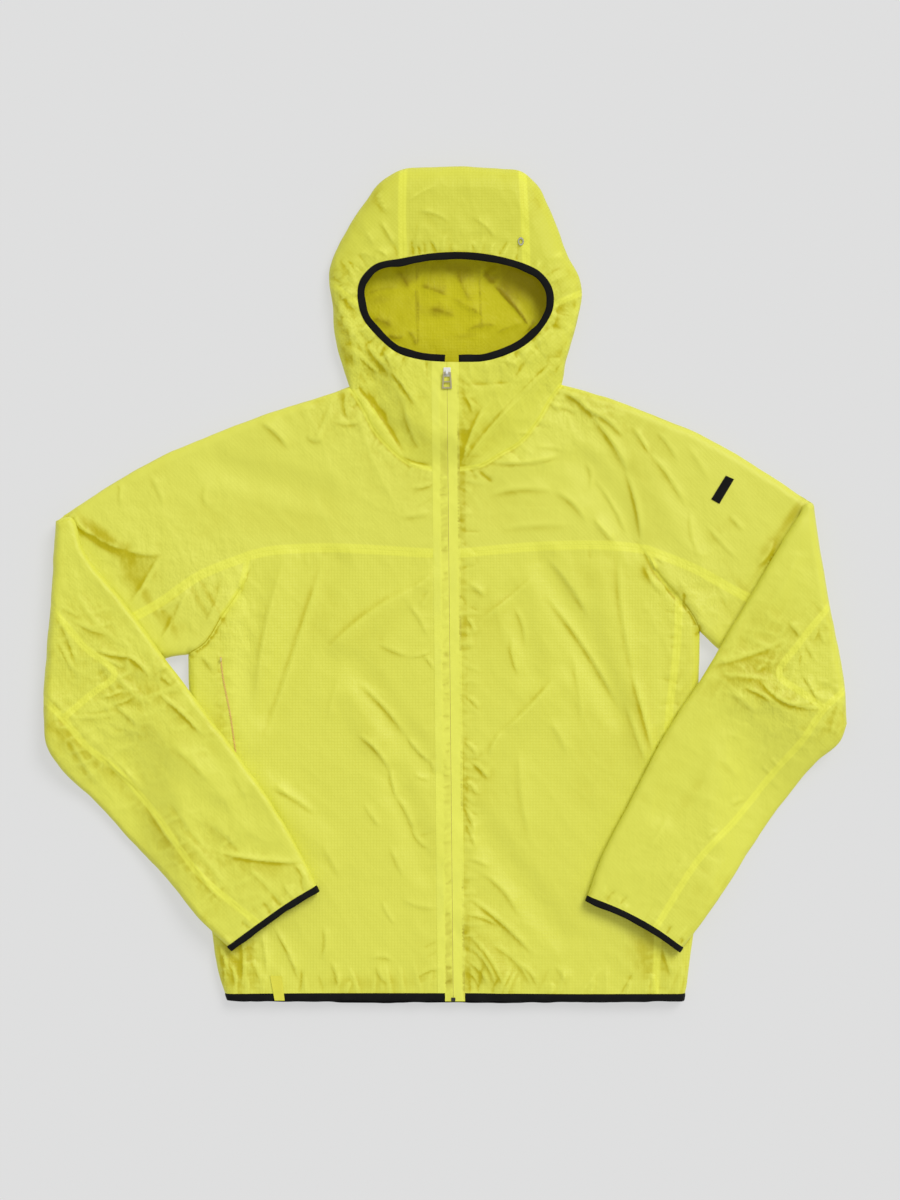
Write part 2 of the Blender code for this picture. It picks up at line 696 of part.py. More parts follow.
def make_body(side, looks, target):
    """Front, side panel, yoke and underarm of one side."""
    table = SIDES[side]
    foot, yoke_y, neck_y = (table[key][0][1] for key in ("hem", "yoke", "neck"))
    cloth(side + "_front", [("front", [
        (front_seam(side, "yoke"), "seam"), (front_seam(side, "armhole", 0, 2), "seam"),
        (front_seam(side, "front_side"), "seam"), (hem_line(side, 2, 0), "seam"),
        (tape_line(side, "outer", foot, yoke_y), "seam")], FRONT_STEP)], looks["front"], target)
    cloth(side + "_side_panel", [
        ("front", [(front_seam(side, "front_side"), "seam"), (hem_line(side, 2, 3), "seam"),
                   (edge(side, "side", 6, 0), "wrap"),
                   (front_seam(side, "armhole", 4, 2), "seam")], FRONT_STEP),
        ("back", [(edge(side, "side"), "wrap"), (back_hem(*back_hem_ends(side)), "seam"),
                  (back_seam(side, "back_side", 4, 0), "seam")], UNDER_STEP)],
        looks["front"], target)
    cloth(side + "_yoke", [("front", [
        (front_seam(side, "neck"), "seam"), (edge(side, "shoulder", 0, 6), "roll"),
        (front_seam(side, "tuck", 0, 2), "seam"), (front_seam(side, "yoke_arm", 4, 0), "seam"),
        (front_seam(side, "yoke", 3, 0), "seam"),
        (tape_line(side, "outer", yoke_y, neck_y), "seam")], FRONT_STEP)], looks["yoke"], target)
    cloth(side + "_underarm", [
        ("front", [(front_seam(side, "armhole"), "seam"), (edge(side, "arm_under", 4, 1), "wrap"),
                   (front_seam(side, "tuck", 4, 2), "seam"),
                   (front_seam(side, "yoke_arm", 4, 0), "seam")], FRONT_STEP),
        ("back", [(edge(side, "arm_under", 4, 1), "wrap"), (edge(side, "arm_under", 1, 0), "roll"),
                  (edge(side, "fold", 5, 3), "roll"), (back_seam(side, "arm_back"), "seam"),
                  (back_seam(side, "raglan", 3, 4), "seam")], UNDER_STEP)],
        looks["yoke"], target)


def make_back(looks, target):
    """The one-piece back, its two neck corners trimmed a little."""
    nape = run(NAPE, step=UNDER_STEP, sheet=SHEETS["back"])
    raglan = back_seam("left", "raglan")
    nape[0] = (nape[0][0] + NECK_TRIM, nape[0][1] - NECK_TRIM)
    raglan[0] = (raglan[0][0] - NECK_TRIM, raglan[0][1] - NECK_TRIM)
    cloth("back_panel", [("back", [
        (nape, "seam"), (raglan, "seam"), (back_seam("left", "back_side"), "seam"),
        (back_hem(3, 1), "seam"), (back_seam("right", "back_side", 4, 0), "seam"),
        (back_seam("right", "raglan", 4, 0), "seam")], UNDER_STEP)], looks["front"], target)


def make_sleeve(side, looks, target):
    """The folded sleeve: its back runs on round the elbow fold from table to top."""
    table = SIDES[side]
    tip, foot, cuff_end = len(table["patch"]) - 1, len(table["outer"]) - 1, len(table["inner"]) - 1
    over, under = side + "_over", side + "_under"
    cloth(side + "_sleeve_back", [
        (over, [(edge(side, "inner"), "roll"), (cuff_line(side, 3, 1), "seam"),
                (arm_seam(side, "over", "long", 6, 1), "seam"),
                (arm_seam(side, "over", "patch", tip, 0), "seam"),
                (edge(side, "fold", 2, 1), "wrap"), (edge(side, "fold", 1, 0), "roll")],
         FRONT_STEP),
        ("back", [(edge(side, "shoulder"), "roll"), (edge(side, "fold", 0, 1), "roll"),
                  (edge(side, "fold", 1, 2), "wrap"), (edge(side, "fold", 2, 3), "roll"),
                  (back_seam(side, "arm_back"), "seam"),
                  (back_seam(side, "raglan", 3, 0), "seam")], UNDER_STEP)],
        looks["sleeve"], target)
    cloth(side + "_elbow_patch", [(over, [
        (arm_seam(side, "over", "patch"), "seam"), (arm_seam(side, "over", "long", 1, 0), "seam"),
        (edge(side, "fold", 4, 2), "roll")], FRONT_STEP)], looks["sleeve"], target)
    cloth(side + "_undersleeve", [
        (over, [(arm_seam(side, "over", "long"), "seam"),
                (cuff_line(side, 1, 0), "seam"),
                (edge(side, "outer", foot, 1), "wrap"), (edge(side, "outer", 1, 0), "roll"),
                (edge(side, "fold", 5, 4), "roll")], FRONT_STEP),
        (under, [(edge(side, "outer", 1, foot), "wrap"),
                 (cuff_line(side, 0, 1), "seam"),
                 (arm_seam(side, "under", "arm_front", 4, 0), "seam")], UNDER_STEP)],
        looks["sleeve"], target)
    cloth(side + "_forearm_front", [(under, [
        (edge(side, "inner", 2, cuff_end), "roll"), (cuff_line(side, 3, 1), "seam"),
        (arm_seam(side, "under", "arm_front", 4, 0), "seam"),
        ([table["outer"][1], table["tuck"][3]], "seam"),
        (arm_seam(side, "under", "tuck", 3, 1), "seam"),
        ([table["tuck"][1], table["inner"][2]], "seam")], UNDER_STEP)], looks["sleeve"], target)
    first, last = Vector(table["cuff"][0]), Vector(table["cuff"][-1])
    chord = (last - first).normalized()
    across = Vector((chord.y, -chord.x, 0)) if side == "right" else Vector((-chord.y, chord.x, 0))
    line = cuff_line(side, 0, 3)
    stations = [(*SHEETS[over].at(*p), across) for p in line]
    stations += [(*SHEETS[under].at(*p), across) for p in line[-2:0:-1]]
    strip(side + "_cuff_binding", stations, looks["binding"], target, closed=True)


def make_hood(looks, target):
    """Centre panel and side panels that run over the crown, chin pieces and face binding."""
    centre_front = [(crown(10, 14), "wrap"), (front_seam("right", "crown"), "seam"),
                    (opening(8, 12), "seam"), (front_seam("left", "crown", 2, 0), "seam")]
    centre_back = [(crown(10, 14), "wrap"), (back_seam("right", "crown_back"), "seam"),
                   (run(NAPE, 1, 2, UNDER_STEP, SHEETS["back"]), "seam"),
                   (back_seam("left", "crown_back", 4, 0), "seam")]
    cloth("hood_centre", [("front", centre_front, FRONT_STEP), ("back", centre_back, UNDER_STEP)],
          looks["hood"], target)
    # Places along the outline: crown seam, ear seam, neck; along the opening: crown seam, ear
    # seam, tape; along the nape: neck, centre panel.
    places = {"right": ((14, 20, 24), (8, 5, 0), (0, 1)), "left": ((10, 4, 0), (12, 15, 20), (3, 2))}
    for side, ((top, ear, foot), (open_top, open_ear, tape), (nape_end, nape_in)) in places.items():
        cloth(side + "_hood_side", [
            ("front", [(front_seam(side, "crown"), "seam"), (opening(open_top, open_ear), "seam"),
                       (front_seam(side, "ear", 1, 0), "seam"), (crown(ear, top), "wrap")],
             FRONT_STEP),
            ("back", [(crown(top, ear), "wrap"), (crown(ear, foot), "roll"),
                      (run(NAPE, nape_end, nape_in, UNDER_STEP, SHEETS["back"]), "seam"),
                      (back_seam(side, "crown_back", 4, 0), "seam")], UNDER_STEP)],
            looks["hood"], target)
        cloth(side + "_hood_chin", [("front", [
            (front_seam(side, "ear"), "seam"), (opening(open_ear, tape), "seam"),
            (tape_line(side, "outer", OPENING[tape][1], SIDES[side]["neck"][0][1]), "seam"),
            (front_seam(side, "neck"), "seam"), (crown(foot, ear), "roll")], FRONT_STEP)],
            looks["hood"], target)
    line = [(HEM_START, TAPE_HEAD)] + opening(0, 20)
    stations = []
    for i, p in enumerate(line):
        before, after = Vector(line[max(i - 1, 0)]), Vector(line[min(i + 1, len(line) - 1)])
        along = (after - before).normalized()
        point, normal = SHEETS["front"].at(*p)
        across = Vector((along.y, -along.x, 0))
        across = (across - normal * across.dot(normal)).normalized()
        stations.append((point, normal, across))
    strip("hood_binding", stations, looks["binding"], target, closed=False)


def make_hem(looks, target):
    """One binding strip from zip to zip round the back."""
    down = Vector((0, -1, 0))
    front, back = SHEETS["front"], SHEETS["back"]
    right_end = (HEM_START, FRONT_HEM)
    left_end = (zip_x(FRONT_HEM) + TAPE["left"]["outer"] + SEAM, FRONT_HEM)
    stations = [(*front.at(*p), down) for p in [right_end] + hem_line("right", 0, 3)]
    stations += [(*back.at(*p), down) for p in back_hem(0, 4)[1:]]
    stations += [(*front.at(*p), down) for p in hem_line("left", 3, 0)[1:-1] + [left_end]]
    strip("hem_binding", stations, looks["binding"], target, closed=False)


def make_zip(looks, target, cutters):
    """Tapes, chain, slider, pull and bottom box of the front zip."""
    foot, neck_y, yoke_y = ZIP_FOOT[1], SIDES["right"]["neck"][0][1], SIDES["right"]["yoke"][0][1]
    notch = [(HEM_START + SEAM, FRONT_HEM), (HEM_START + SEAM, foot)]
    outer = tape_line("right", "outer", OPENING[0][1], neck_y, yoke_y, FRONT_HEM)
    inner = tape_line("right", "inner", foot, yoke_y, neck_y, TAPE_HEAD)
    cloth("right_zip_tape", [("front", [
        (outer, "seam"), ([outer[-1]] + notch + [inner[0]], "seam"),
        (inner, "seam"), ([inner[-1], outer[0]], "seam")], FRONT_STEP)], looks["tape"], target)
    outer = tape_line("left", "outer", TAPE_HEAD, neck_y, yoke_y, FRONT_HEM, foot)
    inner = tape_line("left", "inner", foot, yoke_y, neck_y, TAPE_HEAD)
    cloth("left_zip_tape", [("front", [
        (outer, "seam"), ([outer[-1], inner[0]], "seam"), (inner, "seam"),
        ([inner[-1], outer[0]], "seam")], FRONT_STEP)], looks["tape"], target)
    heights = (HINGE_Y + SLIDER[1] / 2, neck_y, yoke_y, foot + BOX[1] + 1)
    a, b = tape_line("right", "inner", *heights), tape_line("left", "inner", *heights)
    cloth("zip_chain", [("front", [
        (a, "seam"), ([a[-1], b[-1]], "seam"), (b[::-1], "seam"), ([b[0], a[0]], "seam")],
        FRONT_STEP)], looks["coil"], target, *CHAIN)
    point, _ = SHEETS["front"].at(zip_x(HINGE_Y), HINGE_Y)
    base = point.z + CHAIN[0] + SEAM
    hinge = Vector((point.x, HINGE_Y, base + SLIDER[2] + BRIDGE["inner"]))
    slider = block("zip_slider", SLIDER, (hinge.x, HINGE_Y + 1, base + SLIDER[2] / 2), 0.6,
                   looks["metal"], target)
    bridge = arch("slider_bridge", *BRIDGE.values(), hinge, looks["metal"], cutters)
    bridge.hide_render = True
    bridge.display_type = "WIRE"
    union = slider.modifiers.new("Bridge", "BOOLEAN")
    union.operation, union.solver, union.object = "UNION", "EXACT", bridge
    make_pull(hinge, looks["metal"], target)
    box_y = foot + 0.2 + BOX[1] / 2
    box_at, _ = SHEETS["front"].at(zip_x(box_y), box_y)
    block("zip_box", BOX, box_at - Vector((0, 0, BOX_SINK)), 0.5, looks["dark"], target)


def block(name, size, centre, bevel, look, target):
    """A box with rounded edges."""
    made = bmesh.new()
    bmesh.ops.create_cube(made, size=1)
    bmesh.ops.scale(made, vec=Vector(size) * MM, verts=made.verts)
    data = bpy.data.meshes.new(name)
    made.to_mesh(data)
    made.free()
    obj = add_object(name, data, look, target)
    obj.location = Vector(centre) * MM
    rounding = obj.modifiers.new("Bevel", "BEVEL")
    rounding.width, rounding.segments = bevel * MM, 2
    return obj


def arch(name, inner, thick, width, hinge, look, target):
    """The slider's bridge: a half ring over the pull's bar with legs down into the slider."""
    leg = inner + 0.8
    profile = [(inner * math.cos(a), inner * math.sin(a)) for a in np.linspace(0, math.pi, 9)]
    outer = [(y * (inner + thick) / inner, z * (inner + thick) / inner) for y, z in profile]
    loop = [(inner, -leg)] + profile + [(-inner, -leg), (-inner - thick, -leg)]
    loop += outer[::-1] + [(inner + thick, -leg)]
    made = bmesh.new()
    face = made.faces.new([made.verts.new(Vector((-width / 2, y, z)) * MM) for y, z in loop])
    grown = bmesh.ops.extrude_face_region(made, geom=[face])
    verts = [g for g in grown["geom"] if isinstance(g, bmesh.types.BMVert)]
    bmesh.ops.translate(made, vec=(width * MM, 0, 0), verts=verts)
    bmesh.ops.recalc_face_normals(made, faces=made.faces)
    data = bpy.data.meshes.new(name)
    made.to_mesh(data)
    made.free()
    obj = add_object(name, data, look, target)
    obj.location = hinge * MM
    return obj


def make_pull(hinge, look, target):
    """A flat trapezium with two windows, its origin on the hinge in its top bar."""
    curve = bpy.data.curves.new("zip_pull", "CURVE")
    curve.dimensions, curve.fill_mode, curve.extrude = "2D", "BOTH", 0.7 * MM
    outlines = [
        [(-4.3, 0.8), (4.3, 0.8), (5.4, -17.2), (-5.4, -17.2)],
        [(-2.9, -0.8), (2.9, -0.8), (3.4, -9.0), (-3.4, -9.0)],
        [(-3.5, -10.4), (3.5, -10.4), (3.8, -15.6), (-3.8, -15.6)]]
    for outline in outlines:
        spline = curve.splines.new("POLY")
        spline.points.add(len(outline) - 1)
        for point, (x, y) in zip(spline.points, outline):
            point.co = (x * MM, y * MM, 0, 1)
        spline.use_cyclic_u = True
    rough = bpy.data.objects.new("pull_outline", curve)
    target.objects.link(rough)
    bpy.context.view_layer.update()
    data = bpy.data.meshes.new_from_object(rough.evaluated_get(bpy.context.evaluated_depsgraph_get()))
    bpy.data.objects.remove(rough, do_unlink=True)
    made = bmesh.new()
    made.from_mesh(data)
    bmesh.ops.remove_doubles(made, verts=made.verts, dist=0.01 * MM)
    bmesh.ops.recalc_face_normals(made, faces=made.faces)
    made.to_mesh(data)
    made.free()
    data.materials.clear()
    obj = add_object("zip_pull", data, look, target)
    obj.location = hinge * MM
    obj.rotation_euler.x = math.radians(-PULL_TILT)
    return obj


def make_trim(looks, target):
    """Pocket zip with its slider, both labels and the hood's eyelet."""
    seam = run(SIDES["right"]["front_side"], 1, 3, 18.0)
    line = [(x + 1.3, y) for x, y in seam if -192 < y < -50]
    far = [(x + 4.9, y) for x, y in reversed(line)]
    cloth("pocket_zip", [("front", [(line, "seam"), ([line[-1], far[0]], "seam"), (far, "seam"),
                                    ([far[-1], line[0]], "seam")], FRONT_STEP)],
          looks["coil"], target, outer=1.9, inner=0.7)
    top, _ = SHEETS["front"].at(line[0][0] + 1.8, line[0][1] - 4)
    block("pocket_slider", (4.4, 6.5, 2.2), top + Vector((0, 0, 1.9 + SEAM + 1.1)), 0.7,
          looks["metal"], target)
    labels = {"sleeve_label": ([(307, 120), (316, 116), (300, 89), (291, 94)], 0.3, "dark"),
              "hem_label": ([(-193, -429), (-180, -429), (-177, -456), (-188, -456)], 0.9, "yoke")}
    for name, (corners, lift, look) in labels.items():
        cloth(name, [("front", [(corners + corners[:1], "seam")], FRONT_STEP)], looks[look], target,
              outer=lift + 0.8, inner=lift)
    point, normal = SHEETS["front"].at(82, 376)
    bpy.ops.mesh.primitive_torus_add(major_segments=16, minor_segments=6, major_radius=2.6 * MM,
                                     minor_radius=0.8 * MM)
    ring = bpy.context.object
    ring.name = ring.data.name = "hood_eyelet"
    ring.location = (point + normal * (0.8 + SEAM)) * MM
    ring.rotation_euler = normal.to_track_quat("Z", "Y").to_euler()
    ring.scale = (1, 1.4, 1)
    ring.data.materials.append(looks["metal"])
    for collection in list(ring.users_collection):
        collection.objects.unlink(ring)
    target.objects.link(ring)


def main():
    """Build the jacket."""
    target, cutters = start()
    looks = {
        "front": material("front_cloth", (0.69, 0.69, 0.10), 0.5),
        "yoke": material("yoke_cloth", (0.71, 0.71, 0.12), 0.5),
        "sleeve": material("sleeve_cloth", (0.70, 0.71, 0.12), 0.5),
        "hood": material("hood_cloth", (0.66, 0.67, 0.10), 0.5),
        "tape": material("zip_tape", (0.76, 0.78, 0.13), 0.55),
        "coil": material("zip_coil", (0.72, 0.72, 0.20), 0.4),
        "binding": material("elastic_binding", (0.012, 0.012, 0.014), 0.75),
        "metal": material("slider_metal", (0.62, 0.62, 0.60), 0.3, 1.0),
        "dark": material("black_plastic", (0.015, 0.015, 0.015), 0.5),
    }
    make_back(looks, target)
    for side in ("right", "left"):
        make_body(side, looks, target)
        make_sleeve(side, looks, target)
    make_hood(looks, target)
    make_hem(looks, target)
    make_zip(looks, target, cutters)
    make_trim(looks, target)


main()
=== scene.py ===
# A light hooded windshell jacket laid on its back, sleeves folded over the front.
import math
import bpy
import bmesh
import numpy as np
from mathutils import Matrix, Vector, kdtree
from mathutils.geometry import delaunay_2d_cdt


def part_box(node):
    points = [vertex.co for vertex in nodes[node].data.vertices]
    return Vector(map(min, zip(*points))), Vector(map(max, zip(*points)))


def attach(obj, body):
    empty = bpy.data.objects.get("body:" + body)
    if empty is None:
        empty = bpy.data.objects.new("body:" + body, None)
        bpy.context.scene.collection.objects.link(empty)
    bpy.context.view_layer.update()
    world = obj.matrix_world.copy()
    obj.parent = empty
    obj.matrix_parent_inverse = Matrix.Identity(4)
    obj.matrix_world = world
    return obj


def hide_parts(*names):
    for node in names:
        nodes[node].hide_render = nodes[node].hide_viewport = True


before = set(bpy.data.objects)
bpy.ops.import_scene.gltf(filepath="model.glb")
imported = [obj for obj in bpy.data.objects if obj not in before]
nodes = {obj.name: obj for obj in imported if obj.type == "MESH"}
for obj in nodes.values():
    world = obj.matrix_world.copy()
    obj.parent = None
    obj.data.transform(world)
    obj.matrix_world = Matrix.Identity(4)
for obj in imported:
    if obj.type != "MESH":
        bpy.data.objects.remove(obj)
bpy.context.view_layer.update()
scene = bpy.context.scene
mm = 0.001

# Sizes are in mm throughout; right and left are the wearer's.
shape = {
    "shell": 0.9,  # thickness of the visible cloth
    "frontTop": 17.0, "hoodTop": 27.0,  # level of the front and of the hood
    "hoodRise": 45.0,  # the hood rises over this width above the neck seam
    "edgeMid": 8.5, "foldMid": 16.0,  # mid height of the outer edge and of the elbow folds
    "bodyRoll": 10.5, "hoodRoll": 25.0, "armRoll": 7.0,  # how far the rolled edges reach in
    "armLift": 17.7, "armLoft": 14.0,  # underside and depth of the folded forearms
    "armClear": 8.0, "armDrop": {"armUnder": 108.0, "side": 66.0},  # how they sink beyond the body
    "corner": 3.5,  # how softly two rolled edges meet
    "table": 0.02,  # no cloth lies lower than this
}
mesh = {"line": 3.0, "top": 2.15, "hidden": 9.0, "tape": 2.2, "label": 2.0,
        "rollAngles": (12, 26, 40, 54, 68, 80)}
zipLine = {"top": (1.0, 241.0), "foot": (8.0, -457.0), "head": 244.0, "hem": -448.0, "neck": 127, "yoke": 35,
           "rightOuter": -17.0, "leftOuter": 13.0, "slit": 0.45}


# Each side's seams and edges, laid out flat in plan.
sideLines = {
    "right": {
        "neck": [(-15, 127), (-41, 134), (-64, 153), (-78, 169), (-91, 194), (-106, 218)],
        "shoulder": [(-106, 218), (-148, 204), (-204, 186), (-251, 168), (-330, 133),
                     (-388, 98), (-412, 82), (-428, 70)],
        "fold": [(-428, 70), (-430, 42), (-434, -22), (-439, -80), (-442, -124), (-441, -153)],
        "tuck": [(-412, 82), (-425, 10), (-432, -69), (-436, -120), (-435, -150)],
        "armUnder": [(-441, -153), (-435, -150), (-370, -119), (-301, -79), (-283, -76)],
        "side": [(-283, -76), (-282, -127), (-276, -215), (-267, -302), (-257, -386),
                 (-251, -424), (-243, -449)],
        "inner": [(-428, 70), (-421, 73), (-414, 75), (-397, 38), (-348, -25), (-305, -84), (-256, -150),
                  (-207, -215), (-165, -283), (-142, -329)],
        "outer": [(-441, -153), (-438, -175), (-425, -199), (-387, -237), (-348, -280),
                  (-305, -324), (-267, -369), (-240, -396)],
        "cuff": [(-240, -396), (-205.5, -370.5), (-170.5, -346), (-142, -329)],
        "yoke": [(-14, 35), (-161, 40), (-196, 37), (-217, 32)],
        "yokeArm": [(-217, 32), (-271, 10), (-315, -20), (-381, -52), (-432, -69)],
        "armhole": [(-217, 32), (-227, -6), (-245, -33), (-267, -66), (-283, -76)],
        "frontSide": [(-245, -33), (-250, -78), (-239, -148), (-229, -226), (-220, -324),
                       (-210, -448.5)],
        "backSide": [(-283, -76), (-262, -150), (-248, -226), (-232, -324), (-206, -450)],
        "raglan": [(-106, 218), (-170, 110), (-230, 10), (-262, -42), (-283, -76)],
        "armBack": [(-439, -80), (-350, -62), (-262, -42)],
        "long": [(-442, -124), (-419, -146), (-393, -177), (-366, -199), (-317, -253),
                 (-272, -314), (-205.5, -370.5)],
        "patch": [(-434, -22), (-418, -41), (-397, -66), (-363, -100), (-386, -118),
                  (-419, -146)],
        "armFront": [(-438, -175), (-400, -170), (-330, -222), (-262, -300), (-205.5, -370.5)],
        "hem": [(-9, -448), (-128, -448), (-210, -448.5), (-243, -449)],
        "crown": [(-47, 457), (-48, 407), (-47, 358)],
        "crownBack": [(-47, 457), (-38, 400), (-34, 353), (-32, 259), (-31, 213)],
        "ear": [(-128, 332), (-96, 307)],
    },
    "left": {
        "neck": [(15, 127), (38, 131), (61, 144), (81, 156), (101, 180), (117, 207), (127, 220)],
        "shoulder": [(127, 220), (184, 204), (230, 186), (274, 168), (337, 133), (362, 117),
                     (387, 100), (403, 89)],
        "fold": [(403, 89), (408, 56), (421, -21), (431, -72), (438, -114), (440, -152)],
        "tuck": [(387, 100), (406, 20), (419, -47), (432, -114), (434, -149)],
        "armUnder": [(440, -152), (434, -149), (367, -113), (295, -66), (279, -51)],
        "side": [(279, -51), (278, -116), (277, -193), (275, -292), (272, -386), (267, -424),
                 (263, -449)],
        "inner": [(403, 89), (396, 90), (387, 76), (375, 58), (332, -14), (288, -89), (239, -165),
                  (201, -238), (170, -298), (155, -340)],
        "outer": [(440, -152), (433, -170), (406, -195), (372, -237), (336, -289), (294, -351),
                  (260, -397)],
        "cuff": [(260, -397), (229, -375), (194, -356), (155, -340)],
        "yoke": [(16, 35), (114, 43), (197, 42), (220, 39)],
        "yokeArm": [(220, 39), (268, 20), (332, -14), (389, -38), (419, -47)],
        "armhole": [(220, 39), (231, 16), (256, -14), (273, -37), (279, -51)],
        "frontSide": [(256, -14), (254, -61), (245, -140), (240, -226), (235, -324),
                       (230, -449)],
        "backSide": [(279, -51), (262, -140), (252, -226), (243, -324), (226, -450)],
        "raglan": [(127, 220), (180, 120), (232, 20), (262, -24), (279, -51)],
        "armBack": [(431, -72), (350, -48), (262, -24)],
        "long": [(438, -114), (414, -135), (391, -169), (361, -204), (315, -260), (285, -290),
                 (229, -375)],
        "patch": [(421, -21), (387, -63), (365, -99), (390, -118), (414, -135)],
        "armFront": [(433, -170), (395, -160), (330, -225), (280, -290), (229, -375)],
        "hem": [(21, -448), (147, -449), (230, -449), (263, -449)],
        "crown": [(84, 454), (86, 407), (88, 351)],
        "crownBack": [(84, 454), (60, 400), (40, 353), (38, 259), (37, 211)],
        "ear": [(150, 321), (118, 307)],
    },
}

# The hood's outline, from the left neck point over the crown to the right one.
hoodOutline = [
    (127, 220), (132, 245), (140, 272), (146, 296), (150, 321), (147, 338), (135, 361), (124, 388),
    (113, 415), (100, 440), (84, 454), (59, 458), (21, 460), (-31, 459), (-47, 457), (-68, 447),
    (-88, 422), (-106, 395), (-120, 369), (-128, 346), (-128, 332), (-125, 308), (-123, 278),
    (-117, 250), (-106, 218)]
# The edge of its face opening, from the right zip tape round to the left one.
faceOpening = [
    (-16, 245), (-30, 247), (-53, 254), (-75, 272), (-91, 292), (-96, 307), (-94, 334), (-81, 349),
    (-47, 358), (-6, 364), (30, 364), (73, 356), (88, 351), (103, 343), (117, 323), (118, 307),
    (105, 280), (86, 262), (64, 251), (42, 245), (14, 244)]
nape = [(-106, 218), (-31, 213), (37, 211), (127, 220)]
backHem = [(-243, -449), (-206, -450), (0, -452), (226, -450), (263, -449)]

# The largest folds: ends, half width and height.
frontFolds = [
    (-123, 24, -194, -141, 26, -3.0), (-16, 7, -114, -62, 24, 2.2),
    (-96, -92, -20, -202, 26, -2.4), (-102, -123, -65, -190, 24, 2.0),
    (-65, -190, -20, -312, 26, -2.4), (-200, -221, -139, -283, 26, 2.2),
    (107, 24, 192, -141, 26, -2.8), (168, 12, 217, -184, 24, 2.2),
    (125, -110, 45, -184, 26, 2.2), (76, -12, 95, -98, 24, -2.2),
    (30, -257, 125, -381, 26, -2.6), (30, -368, 64, -442, 24, 2.4),
    (150, 135, 211, 43, 26, -2.6), (211, 135, 278, 19, 26, 2.4),
    (43, 126, 103, 138, 24, 2.0), (123, 203, 169, 165, 24, -2.6),
    (-96, 264, -41, 160, 24, -3.2), (131, 288, 30, 165, 26, -3.0),
    (-178, 24, -214, -172, 22, 2.2), (-250, 130, -140, 100, 28, -2.4),
]
armFolds = [
    (-271, -272, -155, -305, 24, -1.6), (-361, -100, -282, -116, 24, -1.4),
    (-395, 40, -330, -40, 24, 2.2), (-330, -150, -240, -230, 26, 2.2),
    (288, -89, 367, -61, 24, -1.2), (323, -116, 413, -134, 24, 1.2),
    (385, 60, 350, -30, 24, 2.0), (300, -150, 240, -250, 26, -2.2),
]


def linePoints(table, first=0, last=-1, straight=False):
    # a smooth line through the table's points, evenly cut between each two of them
    p = np.array(table, float)
    last = len(p) - 1 if last == -1 else last
    if last < first:
        return linePoints(table, last, first, straight)[::-1]
    lengths = np.linalg.norm(np.diff(p, axis=0), axis=1)
    slopes = np.diff(p, axis=0) / lengths[:, None]
    between = slopes[:-1] * lengths[1:, None] + slopes[1:] * lengths[:-1, None]
    tangents = np.vstack([slopes[:1], between / (lengths[:-1] + lengths[1:])[:, None], slopes[-1:]])
    out = [p[first][None]]
    for i in range(first, last):
        t = np.linspace(0, 1, max(1, round(lengths[i] / mesh["line"])) + 1)[1:, None]
        if straight:
            out.append(p[i] + t * (p[i + 1] - p[i]))
            continue
        out.append((2 * t**3 - 3 * t**2 + 1) * p[i] + (t**3 - 2 * t**2 + t) * lengths[i] * tangents[i]
                   + (3 * t**2 - 2 * t**3) * p[i + 1] + (t**3 - t**2) * lengths[i] * tangents[i + 1])
    return np.vstack(out)


def joined(*lines):
    return np.vstack([lines[0]] + [line[1:] for line in lines[1:]])


class Track:
    # a line that answers how far points lie from it, how far along and on which side
    def __init__(self, points):
        self.p = np.array(points, float)
        self.tree = kdtree.KDTree(len(self.p))
        for i, (x, y) in enumerate(self.p):
            self.tree.insert((x, y, 0), i)
        self.tree.balance()
        d = np.diff(self.p, axis=0)
        self.steps = np.linalg.norm(d, axis=1)
        self.along = np.concatenate([[0], np.cumsum(self.steps)])
        left = np.stack([-d[:, 1], d[:, 0]], 1) / self.steps[:, None]
        n = np.vstack([left[:1], left[:-1] + left[1:], left[-1:]])
        self.normals = n / np.linalg.norm(n, axis=1)[:, None]

    def near(self, q):
        # distance, length along, smooth left normal and signed side of each point
        nearest = np.array([self.tree.find((x, y, 0))[1] for x, y in q], int)
        best = None
        for shift in (-1, 0):
            i = np.clip(nearest + shift, 0, len(self.p) - 2)
            a, d = self.p[i], self.p[i + 1] - self.p[i]
            t = np.clip(((q - a) * d).sum(1) / (d * d).sum(1), 0, 1)
            off = q - a - d * t[:, None]
            gap = np.linalg.norm(off, axis=1)
            n = self.normals[i] * (1 - t)[:, None] + self.normals[i + 1] * t[:, None]
            side = np.sign(d[:, 0] * off[:, 1] - d[:, 1] * off[:, 0])
            found = [gap, self.along[i] + t * self.steps[i], n, side]
            if best is None:
                best = found
            else:
                nearer = gap < best[0]
                best = [np.where(nearer if v.ndim == 1 else nearer[:, None], v, w)
                        for v, w in zip(found, best)]
        return best


def inLoop(loop, q):
    # True for points inside a closed loop
    hit = np.zeros(len(q), bool)
    for a, b in zip(loop, np.roll(loop, -1, axis=0)):
        if a[1] == b[1]:
            continue
        x = a[0] + (q[:, 1] - a[1]) * (b[0] - a[0]) / (b[1] - a[1])
        hit ^= ((a[1] > q[:, 1]) != (b[1] > q[:, 1])) & (q[:, 0] < x)
    return hit


def ease(t):
    t = np.clip(t, 0, 1)
    return t * t * (3 - 2 * t)


def segmentGap(q, x0, y0, x1, y1):
    a, d = np.array((x0, y0)), np.array((x1 - x0, y1 - y0))
    t = np.clip(((q - a) @ d) / (d @ d), 0, 1)
    return np.linalg.norm(q - a - t[:, None] * d, axis=1)


def foldHeight(folds, q):
    height = np.zeros(len(q))
    for x0, y0, x1, y1, half, rise in folds:
        gap = segmentGap(q, x0, y0, x1, y1)
        height += np.where(gap < half, rise * (1 + np.cos(np.pi * np.minimum(gap / half, 1))) / 2, 0)
    return height


def side(name, key, first=0, last=-1):
    return linePoints(sideLines[name][key], first, last)


